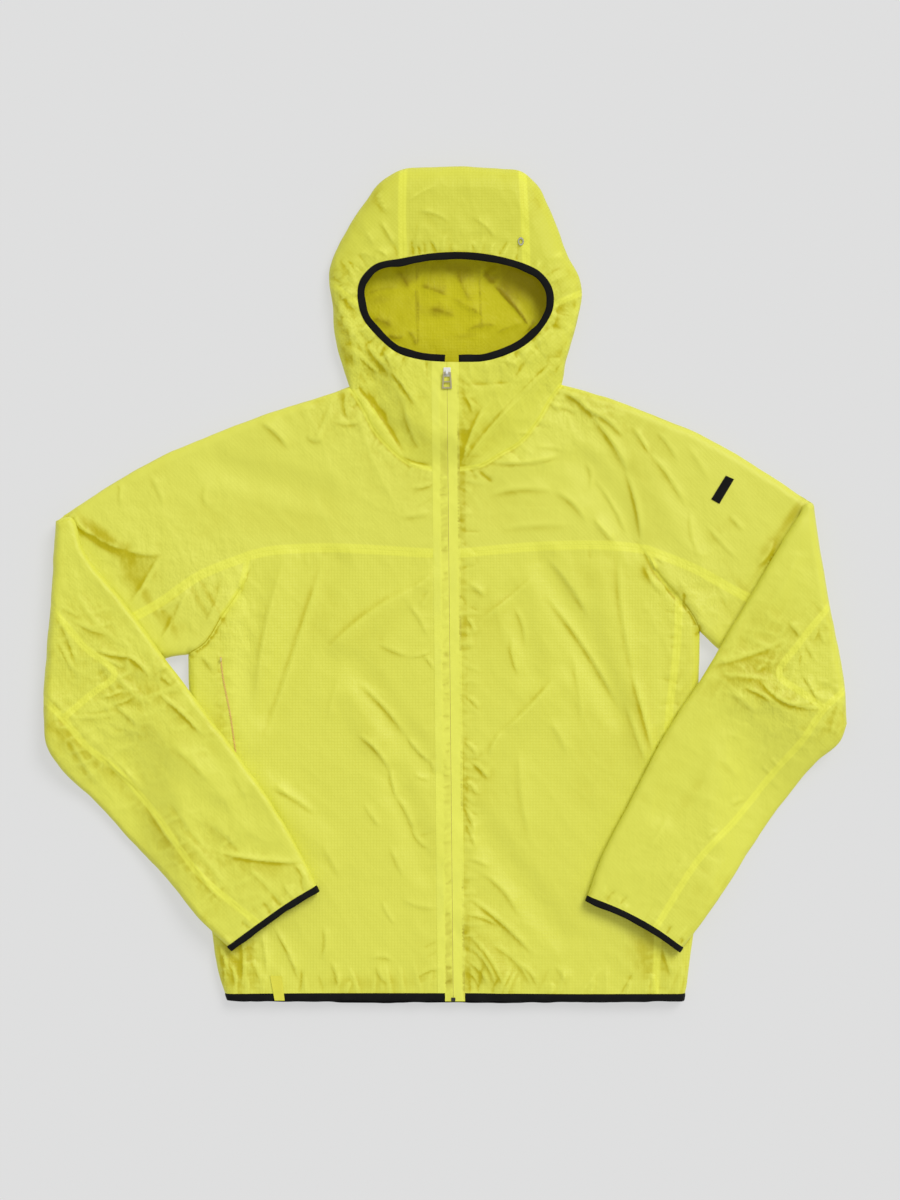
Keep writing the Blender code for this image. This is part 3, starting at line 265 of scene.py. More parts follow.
downTheArm = ("shoulder", "fold", "armUnder", "side")
bodyLoop = joined(*(side("left", key)[::-1] for key in downTheArm[::-1]), linePoints(hoodOutline),
                  *(side("right", key) for key in downTheArm))
hoodLoop = np.vstack([linePoints(hoodOutline), side("right", "neck")[::-1], side("left", "neck")])
neckTrack = Track(np.vstack([side("right", "neck")[::-1], side("left", "neck")]))
armLoops = {s: joined(side(s, "inner"), *(side(s, key)[::-1] for key in ("cuff", "outer", "fold")))
            for s in ("right", "left")}
dropTracks = {turn: [(Track(side(s, key)), drop) for key, drop in shape["armDrop"].items()]
              for turn, s in ((-1, "right"), (1, "left"))}


def hoodShare(q):
    share = np.zeros(len(q))
    inside = (q[:, 1] > zipLine["neck"] - 2) & inLoop(hoodLoop, q)
    if inside.any():
        share[inside] = ease(neckTrack.near(q[inside])[0] / shape["hoodRise"])
    return share


def frontLevel(q):
    rise = (shape["hoodTop"] - shape["frontTop"]) * hoodShare(q)
    return shape["frontTop"] + rise + foldHeight(frontFolds, q)


def armBase(q):
    # the forearm lies on the front and sinks to the table beyond its side and beyond the upper arm
    inside = inLoop(bodyLoop, q)
    sunk = np.ones(len(q))
    for turn, tracks in dropTracks.items():
        here = ~inside & (q[:, 0] * turn > 0)
        for track, drop in tracks if here.any() else ():
            sunk[here] *= ease((track.near(q[here])[0] - shape["armClear"]) / drop)
    overFolds = np.where(inside, np.maximum(foldHeight(frontFolds, q), 0), 0)
    return shape["armLift"] * (1 - np.where(inside, 0, sunk)) + overFolds


def armTop(q):
    return armBase(q) + shape["armLoft"] + foldHeight(armFolds, q)


def bodyRoll(q):
    return shape["bodyRoll"] + (shape["hoodRoll"] - shape["bodyRoll"]) * hoodShare(q)


def flatAt(value):
    return lambda q: np.full(len(q), float(value))


class Sheet:
    # one lying layer, level in the middle and turning over at its rolled edges
    def __init__(self, edges, level, facing, detail):
        self.edges, self.level, self.facing, self.detail = edges, level, facing, detail

    def place(self, q, atRim):
        # heights and outward normals over plan points; atRim marks points on a rolled edge
        gaps, inward, mids, rolls = [], [], [], []
        for track, mid, roll in self.edges:
            gap, _, n, _ = track.near(q)
            gaps.append(gap)
            inward.append(n)
            mids.append(mid(q))
            rolls.append(roll(q))
        gaps = np.array(gaps)
        least = gaps.min(0)
        w = np.exp((least - gaps) / shape["corner"])
        w /= w.sum(0)
        n = (np.array(inward) * w[:, :, None]).sum(0)
        n /= np.linalg.norm(n, axis=1)[:, None]
        mid, roll = (np.array(mids) * w).sum(0), (np.array(rolls) * w).sum(0)
        least[atRim] = 0
        cosine = 1 - np.minimum(least / roll, 1)
        sine = np.sqrt(np.maximum(1 - cosine**2, 0))
        level = self.level(q)
        z = mid + (level - mid) * sine
        normal = np.column_stack([-n * cosine[:, None], sine * self.facing])
        return z, normal, sine, least


def makeSheets():
    lowLeft = joined(side("left", "side")[::-1], side("left", "armUnder")[::-1])
    lowRight = joined(side("right", "armUnder"), side("right", "side"))
    top = joined(side("left", "shoulder")[::-1], linePoints(hoodOutline), side("right", "shoulder"))
    around = [(Track(line), flatAt(shape["edgeMid"]), bodyRoll) for line in (lowLeft, top, lowRight)]
    folds = {s: (Track(side(s, "fold")[::turn]), flatAt(shape["foldMid"]), flatAt(shape["bodyRoll"]))
             for s, turn in (("right", 1), ("left", -1))}
    sheets = {"front": Sheet(around, frontLevel, 1, "front"),
              "back": Sheet(around + list(folds.values()), flatAt(0), -1, "back")}
    for s in ("right", "left"):
        inner, outer = side(s, "inner"), side(s, "outer")
        lines = [inner[::-1], outer] if s == "right" else [inner, outer[::-1]]
        middle = lambda q: armBase(q) + shape["armLoft"] / 2
        edges = [(Track(line), middle, flatAt(shape["armRoll"])) for line in lines]
        sheets[s + "Under"] = Sheet(edges, armBase, -1, "under")
        sheets[s + "Over"] = Sheet(edges + [folds[s]], armTop, 1, s + "Arm")
    return sheets


sheets = makeSheets()

# Creases, one row each: both ends, the sideways bow of the middle, width, height (a trough below
# zero), and how much painted shade deepens the colour of the line at its foot.
creases = {
    "front": [
        # wearer's right front
        (-137, 28, -206, -180, 1, 7, 1.7, .34), (-181, 28, -212, -130, -5, 6, 1.5, .3),
        (-18, 8, -136, -74, -9, 8, 1.4, .26), (-98, -108, -44, -168, 3, 4.5, 1.7, .5),
        (-44, -166, -17, -196, -2, 3, 1.4, .45), (-18, -192, -14, -208, 1, 2.4, 1.0, .45),
        (-98, -165, -62, -206, 4, 4, 1.8, .55), (-63, -200, -55, -236, -1, 3, 1.5, .5),
        (-56, -232, -36, -272, 2, 3.5, 1.4, .5), (-38, -268, -20, -290, -3, 3, 1.0, .35),
        (-196, -222, -144, -254, 3, 4.5, 1.6, .45), (-190, -218, -172, -232, 0, 3, 1.0, .3),
        (-74, -66, -40, -80, -1, 4, 1.0, .3), (-42, -80, -16, -74, -1, 2, 0.9, .4),
        (-26, -78, -14, -96, 2, 2.4, 0.9, .35), (-122, -100, -134, -150, 0, 7, 1.0, .2),
        (-42, -22, -22, -56, 2, 3, 1.0, .35), (-17, -2, -30, -26, 0, 3, 1.0, .3),
        (-17, 12, -36, -2, 0, 3, 1.0, .3), (-92, -240, -72, -268, -1, 4, 1.0, .3),
        (-64, -286, -48, -322, 0, 4, 1.0, .3), (-138, -286, -118, -322, 0, 5, 1.0, .25),
        (-36, -208, -18, -215, -1, 2, 0.8, .3), (-191, -374, -162, -434, 2, 3, 1.5, .7),
        (-137, -372, -138, -412, 4, 3.5, 1.0, .35), (-128, -413, -119, -442, 2, 3, 1.1, .5),
        (-72, -346, -56, -374, -2, 3, 1.0, .4), (-50, -346, -8, -356, -3, 4, 0.9, .3),
        (-84, -412, -58, -414, 4, 3, 0.9, .4), (-77, -418, -66, -437, -2, 3, 1.0, .45),
        (-32, -432, -4, -422, 3, 2.6, 0.8, .35), (-240, -412, -232, -442, 2, 3, 1.0, .4),
        (-216, -410, -204, -440, 2, 3, 1.0, .4), (-250, -396, -238, -430, 0, 4, 1.2, .3),
        (-228, -384, -226, -440, 3, 4, 1.2, .6), (-206, -378, -198, -430, 2, 3, 1.1, .5),
        (-246, -404, -244, -440, 1, 3, 1.0, .45),
        # wearer's left front
        (106, 31, 156, -40, 4, 6, 1.7, .36), (106, -12, 188, -136, 5, 6, 2.0, .5),
        (186, 30, 204, -100, -4, 7, 1.8, .32), (202, -96, 226, -186, 0, 5, 1.8, .45),
        (196, -132, 218, -196, 0, 4, 1.0, .2), (116, -103, 60, -160, 2, 5, 1.6, .36),
        (62, -158, 46, -188, -3, 4, 1.2, .25), (98, 14, 40, -34, 2, 5, 1.2, .25),
        (74, -24, 86, -68, 3, 3.5, 1.0, .3), (70, -58, 80, -101, -3, 3.5, 1.0, .35),
        (134, -72, 146, -150, 3, 5, 1.0, .2), (22, 2, 42, -14, 1, 3.5, 1.3, .45),
        (22, -36, 31, -54, 1, 2.4, 1.0, .5), (22, -123, 36, -137, 1, 2.4, 1.0, .5),
        (20, -172, 34, -190, 1, 3, 1.2, .4), (26, -194, 46, -214, 1, 4, 1.7, .6),
        (20, -216, 33, -230, 2, 2.6, 1.0, .4), (19, -244, 30, -276, 2, 4, 1.6, .55),
        (22, -262, 32, -290, 0, 3.5, 1.4, .5), (76, -180, 90, -284, -3, 7, 1.2, .2),
        (108, -150, 130, -192, 4, 7, 1.0, .15), (22, -302, 48, -311, 2, 3, 1.0, .45),
        (38, -317, 78, -362, 5, 4, 1.3, .4), (24, -344, 96, -408, 3, 4, 1.7, .55),
        (22, -362, 56, -374, 2, 3, 1.1, .4), (24, -384, 62, -440, 4, 3, 1.1, .5),
        (24, -396, 54, -442, 5, 2.6, 0.9, .45), (50, -396, 92, -440, 6, 3.5, 1.0, .35),
        (22, -412, 46, -441, 3, 2.4, 0.8, .4), (22, -424, 36, -441, 2, 2.2, 0.7, .35),
        (78, -416, 100, -440, 3, 3, 1.1, .45), (118, -418, 130, -438, 2, 3.5, 1.0, .4),
        (236, -396, 246, -430, 0, 4, 1.2, .35),
        # yokes
        (124, 213, 162, 182, 3, 5, 2.2, .85), (150, 192, 194, 162, 4, 4, 1.6, .5),
        (160, 182, 197, 124, 3, 6, 2.2, .6), (196, 124, 213, 46, 3, 4, 1.8, .6),
        (203, 174, 222, 144, 1, 2.6, 1.4, .55), (222, 144, 262, 84, 3, 4.5, 1.5, .38),
        (266, 84, 276, 28, -3, 4, 1.0, .3), (230, 168, 254, 134, 2, 3, 0.9, .25),
        (262, 152, 286, 112, 2, 5, 0.9, .22), (48, 96, 118, 100, 5, 7, 1.4, .32),
        (118, 101, 152, 66, 5, 6, 1.6, .38), (160, 72, 184, 44, 0, 5, 1.7, .5),
        (162, 116, 198, 52, 3, 3, 1.1, .32), (152, 136, 155, 104, 5, 2.6, 0.9, .3),
        (46, 134, 128, 141, -5, 5, 1.6, .48), (96, 149, 132, 145, 2, 4, 0.9, .22),
        (60, 58, 140, 62, 3, 6, 0.9, .15), (116, 196, 146, 186, 2, 3, 0.9, .25),
        (112, 202, 124, 190, 0, 2, 0.9, .5), (34, 126, 52, 112, 0, 4, -1.0, .5),
        (344, 20, 362, 48, -3, 5, 1.2, .35), (284, 66, 320, 26, -1, 3, 0.9, .22),
        (310, 76, 326, 58, 0, 2.4, 0.8, .3), (296, 2, 308, -24, 0, 3, 0.8, .22),
        (-417, 76, -384, 50, -3, 6, 2.2, .85), (-392, 54, -352, 36, -3, 7, 2.0, .65),
        (-352, 36, -314, 32, -2, 6, 1.4, .4), (-316, 32, -350, -24, 1, 4, 1.5, .42),
        (-358, 114, -359, 88, 0, 2, 0.9, .4), (-326, 120, -312, 84, 2, 4, 0.9, .22),
        (-206, 178, -174, 148, 3, 5, 1.7, .45), (-129, 200, -148, 158, 2, 6, 1.1, .28),
        (-154, 164, -136, 158, -4, 5, 1.0, .3), (-110, 213, -108, 182, -3, 3, 1.0, .5),
        (-124, 178, -88, 180, -4, 5, 1.2, .42), (-262, 112, -262, 84, -5, 3, 0.8, .18),
        (-38, 106, -14, 111, -2, 2.4, 0.8, .3), (-52, 72, -18, 77, 0, 4, 1.0, .3),
        # underarms
        (-280, 2, -322, -28, 3, 4, 1.3, .5), (-284, -4, -300, -44, -2, 4, 1.2, .42),
        (-300, -30, -318, -64, 2, 4, 1.0, .36), (-246, 8, -268, -46, 3, 4, 0.9, .26),
        (-272, -78, -256, -98, 2, 4, 1.2, .45), (-283, -112, -274, -134, 0, 2.4, 0.9, .45),
        (216, 22, 238, -12, -3, 4, 1.2, .42), (226, 32, 240, 20, 1, 2.4, 0.8, .4),
        (240, -2, 254, -16, 0, 3, -1.2, .8), (262, -8, 256, -28, 0, 3.4, -1.2, .7),
        (252, 8, 286, -40, -4, 6, 1.0, .15),
        # hood: chin folds, sides and crown
        (-101, 222, -46, 143, 3, 4, -2.2, .9), (-88, 214, -62, 178, 0, 7, -1.4, .5),
        (-52, 142, -16, 130, -2, 2.5, -1.0, .8), (-103, 258, -74, 231, -1, 2.4, 1.4, .75),
        (-90, 266, -62, 230, -2, 5, 1.8, .5), (-64, 236, -33, 193, 2, 3, 1.9, .95),
        (-70, 256, -60, 234, 1, 3, 1.2, .45), (-48, 198, -28, 146, -3, 4, 1.3, .45),
        (-112, 290, -100, 226, 2, 6, 1.2, .5), (132, 256, 78, 206, -2, 3, 1.6, .6),
        (82, 210, 20, 136, -3, 4, 1.5, .42), (46, 204, 15, 130, -4, 4.5, 1.7, .6),
        (18, 208, 28, 188, 2, 3, 1.0, .55), (20, 219, 74, 222, 0, 5, -0.9, .22),
        (74, 222, 104, 262, 3, 5, -1.1, .28), (56, 245, 80, 237, 2, 2.4, 0.9, .42),
        (77, 165, 93, 166, 0, 2, 0.8, .5), (128, 290, 60, 230, -6, 8, 1.4, .25),
        (-128, 331, -92, 256, -3, 3, 1.8, .8), (-124, 328, -97, 297, 1, 3, 1.3, .5),
        (-128, 333, -102, 314, 2, 2.6, 1.1, .45), (-116, 356, -100, 332, 1, 2.6, 1.0, .4),
        (-106, 356, -96, 340, 0, 2.2, 0.8, .35), (-126, 342, -108, 326, 0, 2.6, 1.0, .4),
        (-75, 400, -56, 368, 1, 2.6, 1.4, .6), (-89, 388, -80, 372, 0, 3, 1.0, .4),
        (-78, 367, -62, 357, 1, 2.6, 1.2, .6), (-96, 362, -80, 356, 2, 3, 0.9, .3),
        (-76, 432, -66, 406, -2, 5, 1.3, .45), (-44, 416, -10, 436, 2, 3, 0.9, .22),
        (-34, 408, 4, 395, 4, 4, 1.1, .27), (28, 402, 53, 378, 3, 3, 1.1, .3),
        (-30, 400, -34, 372, 0, 4, 0.8, .18), (-20, 379, -10, 364, 2, 2, 0.9, .35),
        (25, 376, 31, 366, 2, 1.8, 0.8, .35), (6, 372, 9, 363, 0, 2, 0.8, .3),
        (149, 318, 110, 262, 3, 4, 1.4, .4), (146, 300, 120, 250, 4, 6, 1.2, .3),
        (138, 270, 112, 226, 3, 5, 1.0, .25), (112, 352, 132, 366, -3, 5, 1.0, .2),
        (96, 396, 80, 440, 3, 8, 1.0, .2),
    ],
    "rightArm": [
        (-384, -72, -344, -80, -2, 3, 1.4, .7), (-352, -78, -324, -104, 3, 4, 1.5, .8),
        (-378, -80, -352, -92, 0, 2.2, 0.9, .5), (-313, -100, -301, -110, 0, 2.4, 1.0, .6),
        (-314, -121, -268, -165, 2, 2.6, 1.6, 1.0), (-318, -97, -298, -94, 3, 3, 0.8, .25),
        (-378, -124, -352, -115, -2, 2.4, 0.9, .42), (-366, -132, -340, -122, -2, 2.4, 0.7, .3),
        (-400, -140, -360, -134, -2, 5, 1.0, .36), (-364, -134, -336, -160, 2, 5, 1.2, .36),
        (-412, -146, -360, -142, -3, 3, 0.9, .36), (-370, -154, -330, -168, 0, 6, 1.0, .3),
        (-380, -186, -334, -228, -2, 3.5, 1.4, .5), (-356, -200, -338, -222, 0, 2, 0.8, .45),
        (-408, -40, -372, -55, -2, 3, 0.9, .4), (-430, -26, -404, -90, 2, 3, 1.1, .42),
        (-424, -24, -400, -36, 0, 2, 0.7, .3), (-426, -60, -408, -96, 0, 2.5, 0.9, .4),
        (-436, -120, -420, -138, 0, 3, 1.0, .4), (-416, -166, -384, -222, -2, 8, 1.2, .25),
        (-250, -294, -156, -305, -3, 4, 1.9, .75), (-168, -306, -155, -324, 2, 3, 0.9, .4),
        (-262, -262, -226, -294, 2, 7, 1.2, .3), (-300, -180, -262, -216, 2, 7, 1.1, .25),
        (-240, -200, -220, -240, 2, 6, 1.0, .2), (-300, -240, -262, -292, -3, 6, 1.1, .25),
        (-330, -240, -296, -290, -2, 4, 1.1, .36), (-280, -300, -246, -346, -3, 4, 1.1, .4),
        (-216, -314, -190, -340, 2, 4, 0.9, .25), (-178, -328, -170, -342, 0, 2, 0.8, .4),
        (-390, 34, -340, -30, 4, 8, 1.0, .15),
    ],
    "leftArm": [
        (288, -90, 372, -63, -3, 6, 1.6, .32), (302, -100, 352, -106, 0, 6, 1.2, .3),
        (326, -113, 357, -129, 1, 2.6, 1.3, .8), (342, -104, 376, -133, -3, 3, 1.4, .7),
        (358, -124, 410, -137, -3, 3, 1.4, .7), (372, -134, 404, -130, 2, 2.4, 0.8, .4),
        (312, -118, 340, -143, 0, 4, 1.1, .32), (374, -41, 388, -58, 0, 2.6, 1.2, .6),
        (389, -70, 387, -94, 0, 2.2, 0.9, .5), (388, -96, 408, -132, 1, 2.6, 1.2, .6),
        (402, -62, 408, -48, 0, 2, 0.8, .36), (407, -50, 414, -66, 0, 2, 0.8, .36),
        (392, -64, 406, -88, 0, 2.4, 0.8, .3), (345, -199, 357, -209, 0, 1.8, 0.9, .6),
        (355, -189, 364, -201, 0, 1.6, 0.7, .4), (300, -192, 320, -215, 0, 6, 0.9, .22),
        (240, -250, 216, -290, 2, 6, 1.0, .2), (296, -262, 284, -290, 2, 4, 0.9, .25),
        (262, -292, 240, -330, -2, 5, 0.9, .2), (312, -244, 330, -236, 2, 3, 0.8, .3),
        (286, -278, 300, -270, 1, 2.4, 0.8, .3), (380, 40, 350, -20, 4, 8, 1.0, .15),
        (430, -120, 416, -170, 0, 6, 0.6, .1), (340, -96, 352, -88, 1, 3, 0.8, .2),
    ],
    "under": [(-200, -200, -260, -150, 0, 14, 0.8), (220, -200, 260, -150, 0, 14, 0.8)],
    # the inside of the hood's back, that shows in the face opening
    "inside": [
        (-33, 350, -31, 258, 0, 1.8, 0.5, .6), (34, 352, 39, 262, 1, 1.8, 0.5, .5),
        (40, 346, 52, 330, -2, 5, 1.8, .5), (50, 331, 93, 280, 2, 2.6, 2.2, .8),
        (-34, 325, 2, 312, 2, 9, 2.4, 0), (2, 312, 40, 292, 1, 8, 2.6, .25),
        (8, 344, 26, 306, -3, 10, 2.2, .15), (-66, 273, -44, 271, -2, 4, 1.4, .3),
        (-46, 280, -35, 260, 3, 4, 1.4, .35), (22, 276, 60, 282, 3, 7, 1.8, .15),
        (54, 272, 92, 286, 2, 7, 1.8, .2), (-90, 312, -50, 322, 4, 9, 1.8, .1),
        (-84, 290, -60, 280, 2, 7, 1.6, .15), (64, 344, 104, 326, 2, 9, 1.6, .3),
        (-20, 300, 10, 290, 2, 8, 1.6, .1), (-60, 346, -44, 322, 2, 8, 1.6, .1),
        (88, 276, 100, 292, -1, 3, 1.4, .4),
    ],
    "back": [
        (-180, 120, -60, -40, 20, 16, 1.0), (170, 130, 80, -60, -18, 16, 1.0),
        (-190, -120, -60, -300, 14, 18, 0.9), (180, -100, 60, -320, -14, 18, 0.9),
        (-20, 160, 10, -20, 6, 14, 0.7), (-60, -330, 40, -420, 10, 14, 0.8),
        (-380, 40, -280, 0, 8, 12, 0.9), (380, 40, 280, 0, -8, 12, 0.9), (-60, 300, -20, 420, 8, 12, 0.8),
        (70, 300, 40, 420, -8, 12, 0.8),
    ],
}


def uneven(seed):
    return np.random.default_rng(seed)


gatherRange = {  # how uneven the gathers are; each is a share of its kind's own size
    "turn": 0.22, "reach": (0.45, 1.25), "behind": 0.12, "bow": 1.2, "width": (0.7, 1.4),
    "height": (0.35, 1.2), "spacing": (0.45, 1.7),
}


def gathers(line, into, spacing, length, width, height, slant, seed):
    # short uneven ridges that run from an edge into the cloth
    r = uneven(seed)
    track = Track(line)
    rows, s = [], r.uniform(0, spacing)
    while s < track.along[-1]:
        start = np.array([np.interp(s, track.along, track.p[:, k]) for k in (0, 1)])
        i = min(int(np.searchsorted(track.along, s)), len(track.p) - 1)
        n = track.normals[i] * into
        turn = r.normal(slant, gatherRange["turn"])
        c, k = math.cos(turn), math.sin(turn)
        d = np.array((n[0] * c - n[1] * k, n[0] * k + n[1] * c))
        d = d * r.uniform(*gatherRange["reach"]) * length
        rows.append((*(start - d * gatherRange["behind"]), *(start + d), r.normal(0, gatherRange["bow"]),
                     width * r.uniform(*gatherRange["width"]),
                     height * r.uniform(*gatherRange["height"]) * r.choice((1, 1, -1))))
        s += spacing * r.uniform(*gatherRange["spacing"])
    return rows


def zipX(y):
    share = (zipLine["top"][1] - y) / (zipLine["top"][1] - zipLine["foot"][1])
    return zipLine["top"][0] + share * (zipLine["foot"][0] - zipLine["top"][0])


def zipEdge(offset, *heights):
    return linePoints([(zipX(y) + offset, y) for y in heights], straight=True)


# Gathers: spacing, length, width and height.
gather = {"zipLeft": (13, 26, 2.8, 0.5), "zipRight": (19, 24, 3.0, 0.35), "hem": (12, 30, 3.0, 0.95),
          "cuff": (8, 18, 2.6, 0.8), "face": (8, 20, 2.6, 0.95), "neck": (12, 18, 3.0, 0.6),
          "seam": (17, 19, 3.2, 0.32), "side": (11, 14, 2.7, 0.5), "puckers": (7, 13, 2.1, 0.3)}
zipHeights = (236, zipLine["yoke"], -446)
# Where they are: sheet, line, the way they run, kind, slant and seed.
gathered = [
    ("front", zipEdge(zipLine["leftOuter"], *zipHeights), 1, "zipLeft", -0.35, 3),
    ("front", zipEdge(zipLine["rightOuter"], *zipHeights), -1, "zipRight", 0.3, 4),
    ("front", zipEdge(-0.8, 120, -446), -1, "puckers", 0.35, 34),
    ("front", zipEdge(9.5, 232, -446), 1, "puckers", -0.3, 35),
    ("front", side("right", "hem"), -1, "hem", 0.1, 5), ("front", side("left", "hem"), 1, "hem", -0.25, 6),
    ("front", linePoints(faceOpening), 1, "face", 0.1, 7),
    ("front", side("right", "neck"), 1, "neck", 0.1, 8), ("front", side("left", "neck"), -1, "neck", 0.3, 9),
]
for s, turn in (("right", 1), ("left", -1)):
    gathered += [("front", side(s, "yoke"), turn, "seam", 0.1, 10 + turn),
                 ("front", side(s, "yokeArm"), turn, "seam", 0.1, 13 + turn),
                 ("front", side(s, "frontSide"), turn, "side", -0.2 * turn, 16 + turn),
                 ("front", side(s, "frontSide"), -turn, "side", 0.2 * turn, 19 + turn)]
    for key in ("long", "patch"):
        gathered += [(s + "Arm", side(s, key), 1, "seam", 0.1, 22 + turn),
                     (s + "Arm", side(s, key), -1, "seam", 0.1, 25 + turn)]
    gathered += [(s + "Arm", side(s, "cuff"), turn, "cuff", 0.0, 28 + turn),
                 ("back", side(s, "raglan"), 1, "seam", 0.0, 31 + turn)]
for kind, line, into, key, slant, seed in gathered:
    creases[kind] += gathers(line, into, *gather[key], slant, seed)

# Where one layer folds over the next: the line, the side that lies on top, its rise and reach.
overlap = {"armhole": (3.6, 24), "neck": (1.5, 12), "rounding": 2.0,
           "sink": 0.35, "sinkReach": 6, "meet": 1.8,
           # tone, toneReach and toneEdge: the painted shadow just under the lapping fold
           "tone": 0.8, "toneReach": 2.8, "toneEdge": 1.2}
overlaps = []
for s, turn in (("right", -1), ("left", 1)):
    overlaps.append((Track(side(s, "armhole", 1, 4)), turn, *overlap["armhole"]))
    overlaps.append((Track(side(s, "neck", 1)), turn, *overlap["neck"]))


def softNoise(q, size, seed, turn=0.0, stretch=1.0):
    # smooth random hills, size mm apart, drawn out along one direction
    cells = 96
    grid = uneven(seed).uniform(-1, 1, (cells, cells))
    a = math.radians(turn)
    u = ((q[:, 0] * math.cos(a) + q[:, 1] * math.sin(a)) / (size * stretch) + 40.3)
    v = ((-q[:, 0] * math.sin(a) + q[:, 1] * math.cos(a)) / size + 40.7)
    i, j = np.floor(u).astype(int), np.floor(v).astype(int)
    s, t = u - i, v - j
    s, t = s**3 * (s * (6 * s - 15) + 10), t**3 * (t * (6 * t - 15) + 10)
    at = lambda a, b: grid[a % cells, b % cells]
    low, high = (at(i, j + k) * (1 - s) + at(i + 1, j + k) * s for k in (0, 1))
    return low * (1 - t) + high * t


crisp = {  # the section of a crease, gentle on one side and steep on the other
    "width": 0.9, "rise": 1.35, "power": 1.1, "gentle": 1.5, "steep": 0.55,
    "past": 0.06, "ends": 0.38, "atEnds": 0.7, "inMiddle": 0.5,  # how it thins out to its ends
    "line": 0.1, "thin": 0.8, "wide": 0.3, "patchy": 0.6,  # the line of painted shade at its foot
}


def creaseHeight(rows, q, shade=None):
    height = np.zeros(len(q))
    low, high = q.min(0), q.max(0)
    for x0, y0, x1, y1, bow, width, rise, *deep in rows:
        reach = 3.5 * width + abs(bow)
        first = np.array((min(x0, x1), min(y0, y1))) - reach
        last = np.array((max(x0, x1), max(y0, y1))) + reach
        if (first > high).any() or (last < low).any():
            continue
        near = np.flatnonzero(((q > first) & (q < last)).all(1))
        if not len(near):
            continue
        d = np.array((x1 - x0, y1 - y0))
        length = np.linalg.norm(d)
        d = d / length
        t = (q[near] - (x0, y0)) @ d / length
        across = (q[near] - (x0, y0)) @ np.array((-d[1], d[0])) - bow * (1 - (2 * t - 1) ** 2)
        ends = ease(np.minimum(t + crisp["past"], 1 + crisp["past"] - t) / crisp["ends"])
        crest = across - (crisp["steep"] * width if rise > 0 else 0)
        wide = crisp["width"] * width * np.where(crest > 0, crisp["gentle"], crisp["steep"])
        wide = wide * (crisp["atEnds"] + crisp["inMiddle"] * ends)
        height[near] += crisp["rise"] * rise * ends * np.exp(-np.abs(crest / wide) ** crisp["power"])
        if shade is not None:
            # painted shade: the colour deepens in a line beside a ridge's crest and along a trough
            line = np.exp(-(across / (crisp["thin"] + crisp["wide"] * width)) ** 2)
            amount = deep[0] if deep else crisp["line"] * abs(rise)
            shade[near] += amount * ends * line * (1 + crisp["patchy"] * softNoise(q[near], 13, 44))
    return height


noiseHills = {  # low hills: size, seed, turn, stretch, height
    "front": [(95, 1, -60, 1.8, 0.9), (42, 2, -55, 2.2, 0.45), (17, 3, -60, 2.4, 0.16)],
    "back": [(95, 4, 70, 1.8, 0.8), (42, 5, 60, 2.2, 0.4)],
    "under": [(80, 6, 0, 1.5, 0.5)],
    "rightArm": [(70, 7, -50, 1.8, 0.9), (30, 8, 30, 2.2, 0.5), (14, 9, 35, 2.2, 0.2)],
    "leftArm": [(70, 10, 60, 1.8, 0.8), (32, 11, -30, 2.2, 0.4), (14, 12, -25, 2.2, 0.17)],
}
crumples = {  # small folds with sharp crests: size, seed, turn, stretch, height
    "front": [(38, 31, -62, 2.6, 1.9), (19, 32, -40, 2.0, 0.9), (10, 45, -75, 2.2, 0.35)],
    "back": [(40, 33, 60, 2.0, 1.3), (18, 46, 20, 1.8, 0.6)],
    "under": [(34, 34, 20, 2.0, 0.4)],
    "rightArm": [(30, 35, -48, 2.2, 2.1), (15, 36, 20, 1.6, 1.1), (9, 47, -60, 1.8, 0.4)],
    "leftArm": [(32, 37, 55, 2.2, 2.0), (15, 38, -20, 1.6, 0.9), (9, 48, 60, 1.8, 0.4)],
}
hoodCrumples = [(24, 21, 60, 1.8, 1.5), (13, 22, 115, 1.6, 0.8)]  # more of them on the hood

# How crumpled the cloth is: a share for all of it, and where it is more so (middle, reach, amount).
wornShare = {"front": 0.28, "back": 0.6, "under": 0.5, "rightArm": 0.4, "leftArm": 0.3}
wornPlaces = {
    "front": [(-80, 220, 70, 0.8), (90, 240, 70, 0.7), (-105, 300, 60, 0.7), (120, 310, 50, 0.6),
              (10, 400, 60, 0.3), (-350, 40, 60, 0.5), (-260, 0, 50, 0.8), (270, -10, 46, 0.7),
              (160, 190, 40, 0.5), (-235, -400, 40, 0.6), (230, -400, 40, 0.4), (60, -400, 60, 0.3),
              (-60, 110, 40, 0.2), (-225, -60, 40, 0.5)],
    "rightArm": [(-350, -110, 70, 0.7), (-400, -180, 50, 0.3), (-260, -300, 60, 0.4), (-410, 0, 50, 0.3)],
    "leftArm": [(360, -110, 60, 0.9), (410, -140, 40, 0.5), (280, -280, 60, 0.2)],
    "back": [], "under": [],
}


mostWorn = 1.2
peaks = {  # how the crumples stand above and below the cloth, and where the hood's own begin
    "middle": 0.42, "power": 0.75, "hoodMiddle": 0.4, "hoodFrom": 130, "hoodReach": 60,
    "pressed": 0.4,  # what the forearms leave of them
}
edgeHills = [(30, 41, 0.5), (12, 42, 0.3)]  # the uneven swell of every turned edge: size, seed, height


def wornAt(kind, q):
    worn = np.full(len(q), wornShare[kind])
    for x, y, reach, amount in wornPlaces[kind]:
        worn += amount * np.exp(-((q[:, 0] - x) ** 2 + (q[:, 1] - y) ** 2) / reach ** 2)
    return np.minimum(worn, mostWorn)


def edgeWave(q):
    return sum(rise * softNoise(q, *hill) for *hill, rise in edgeHills)


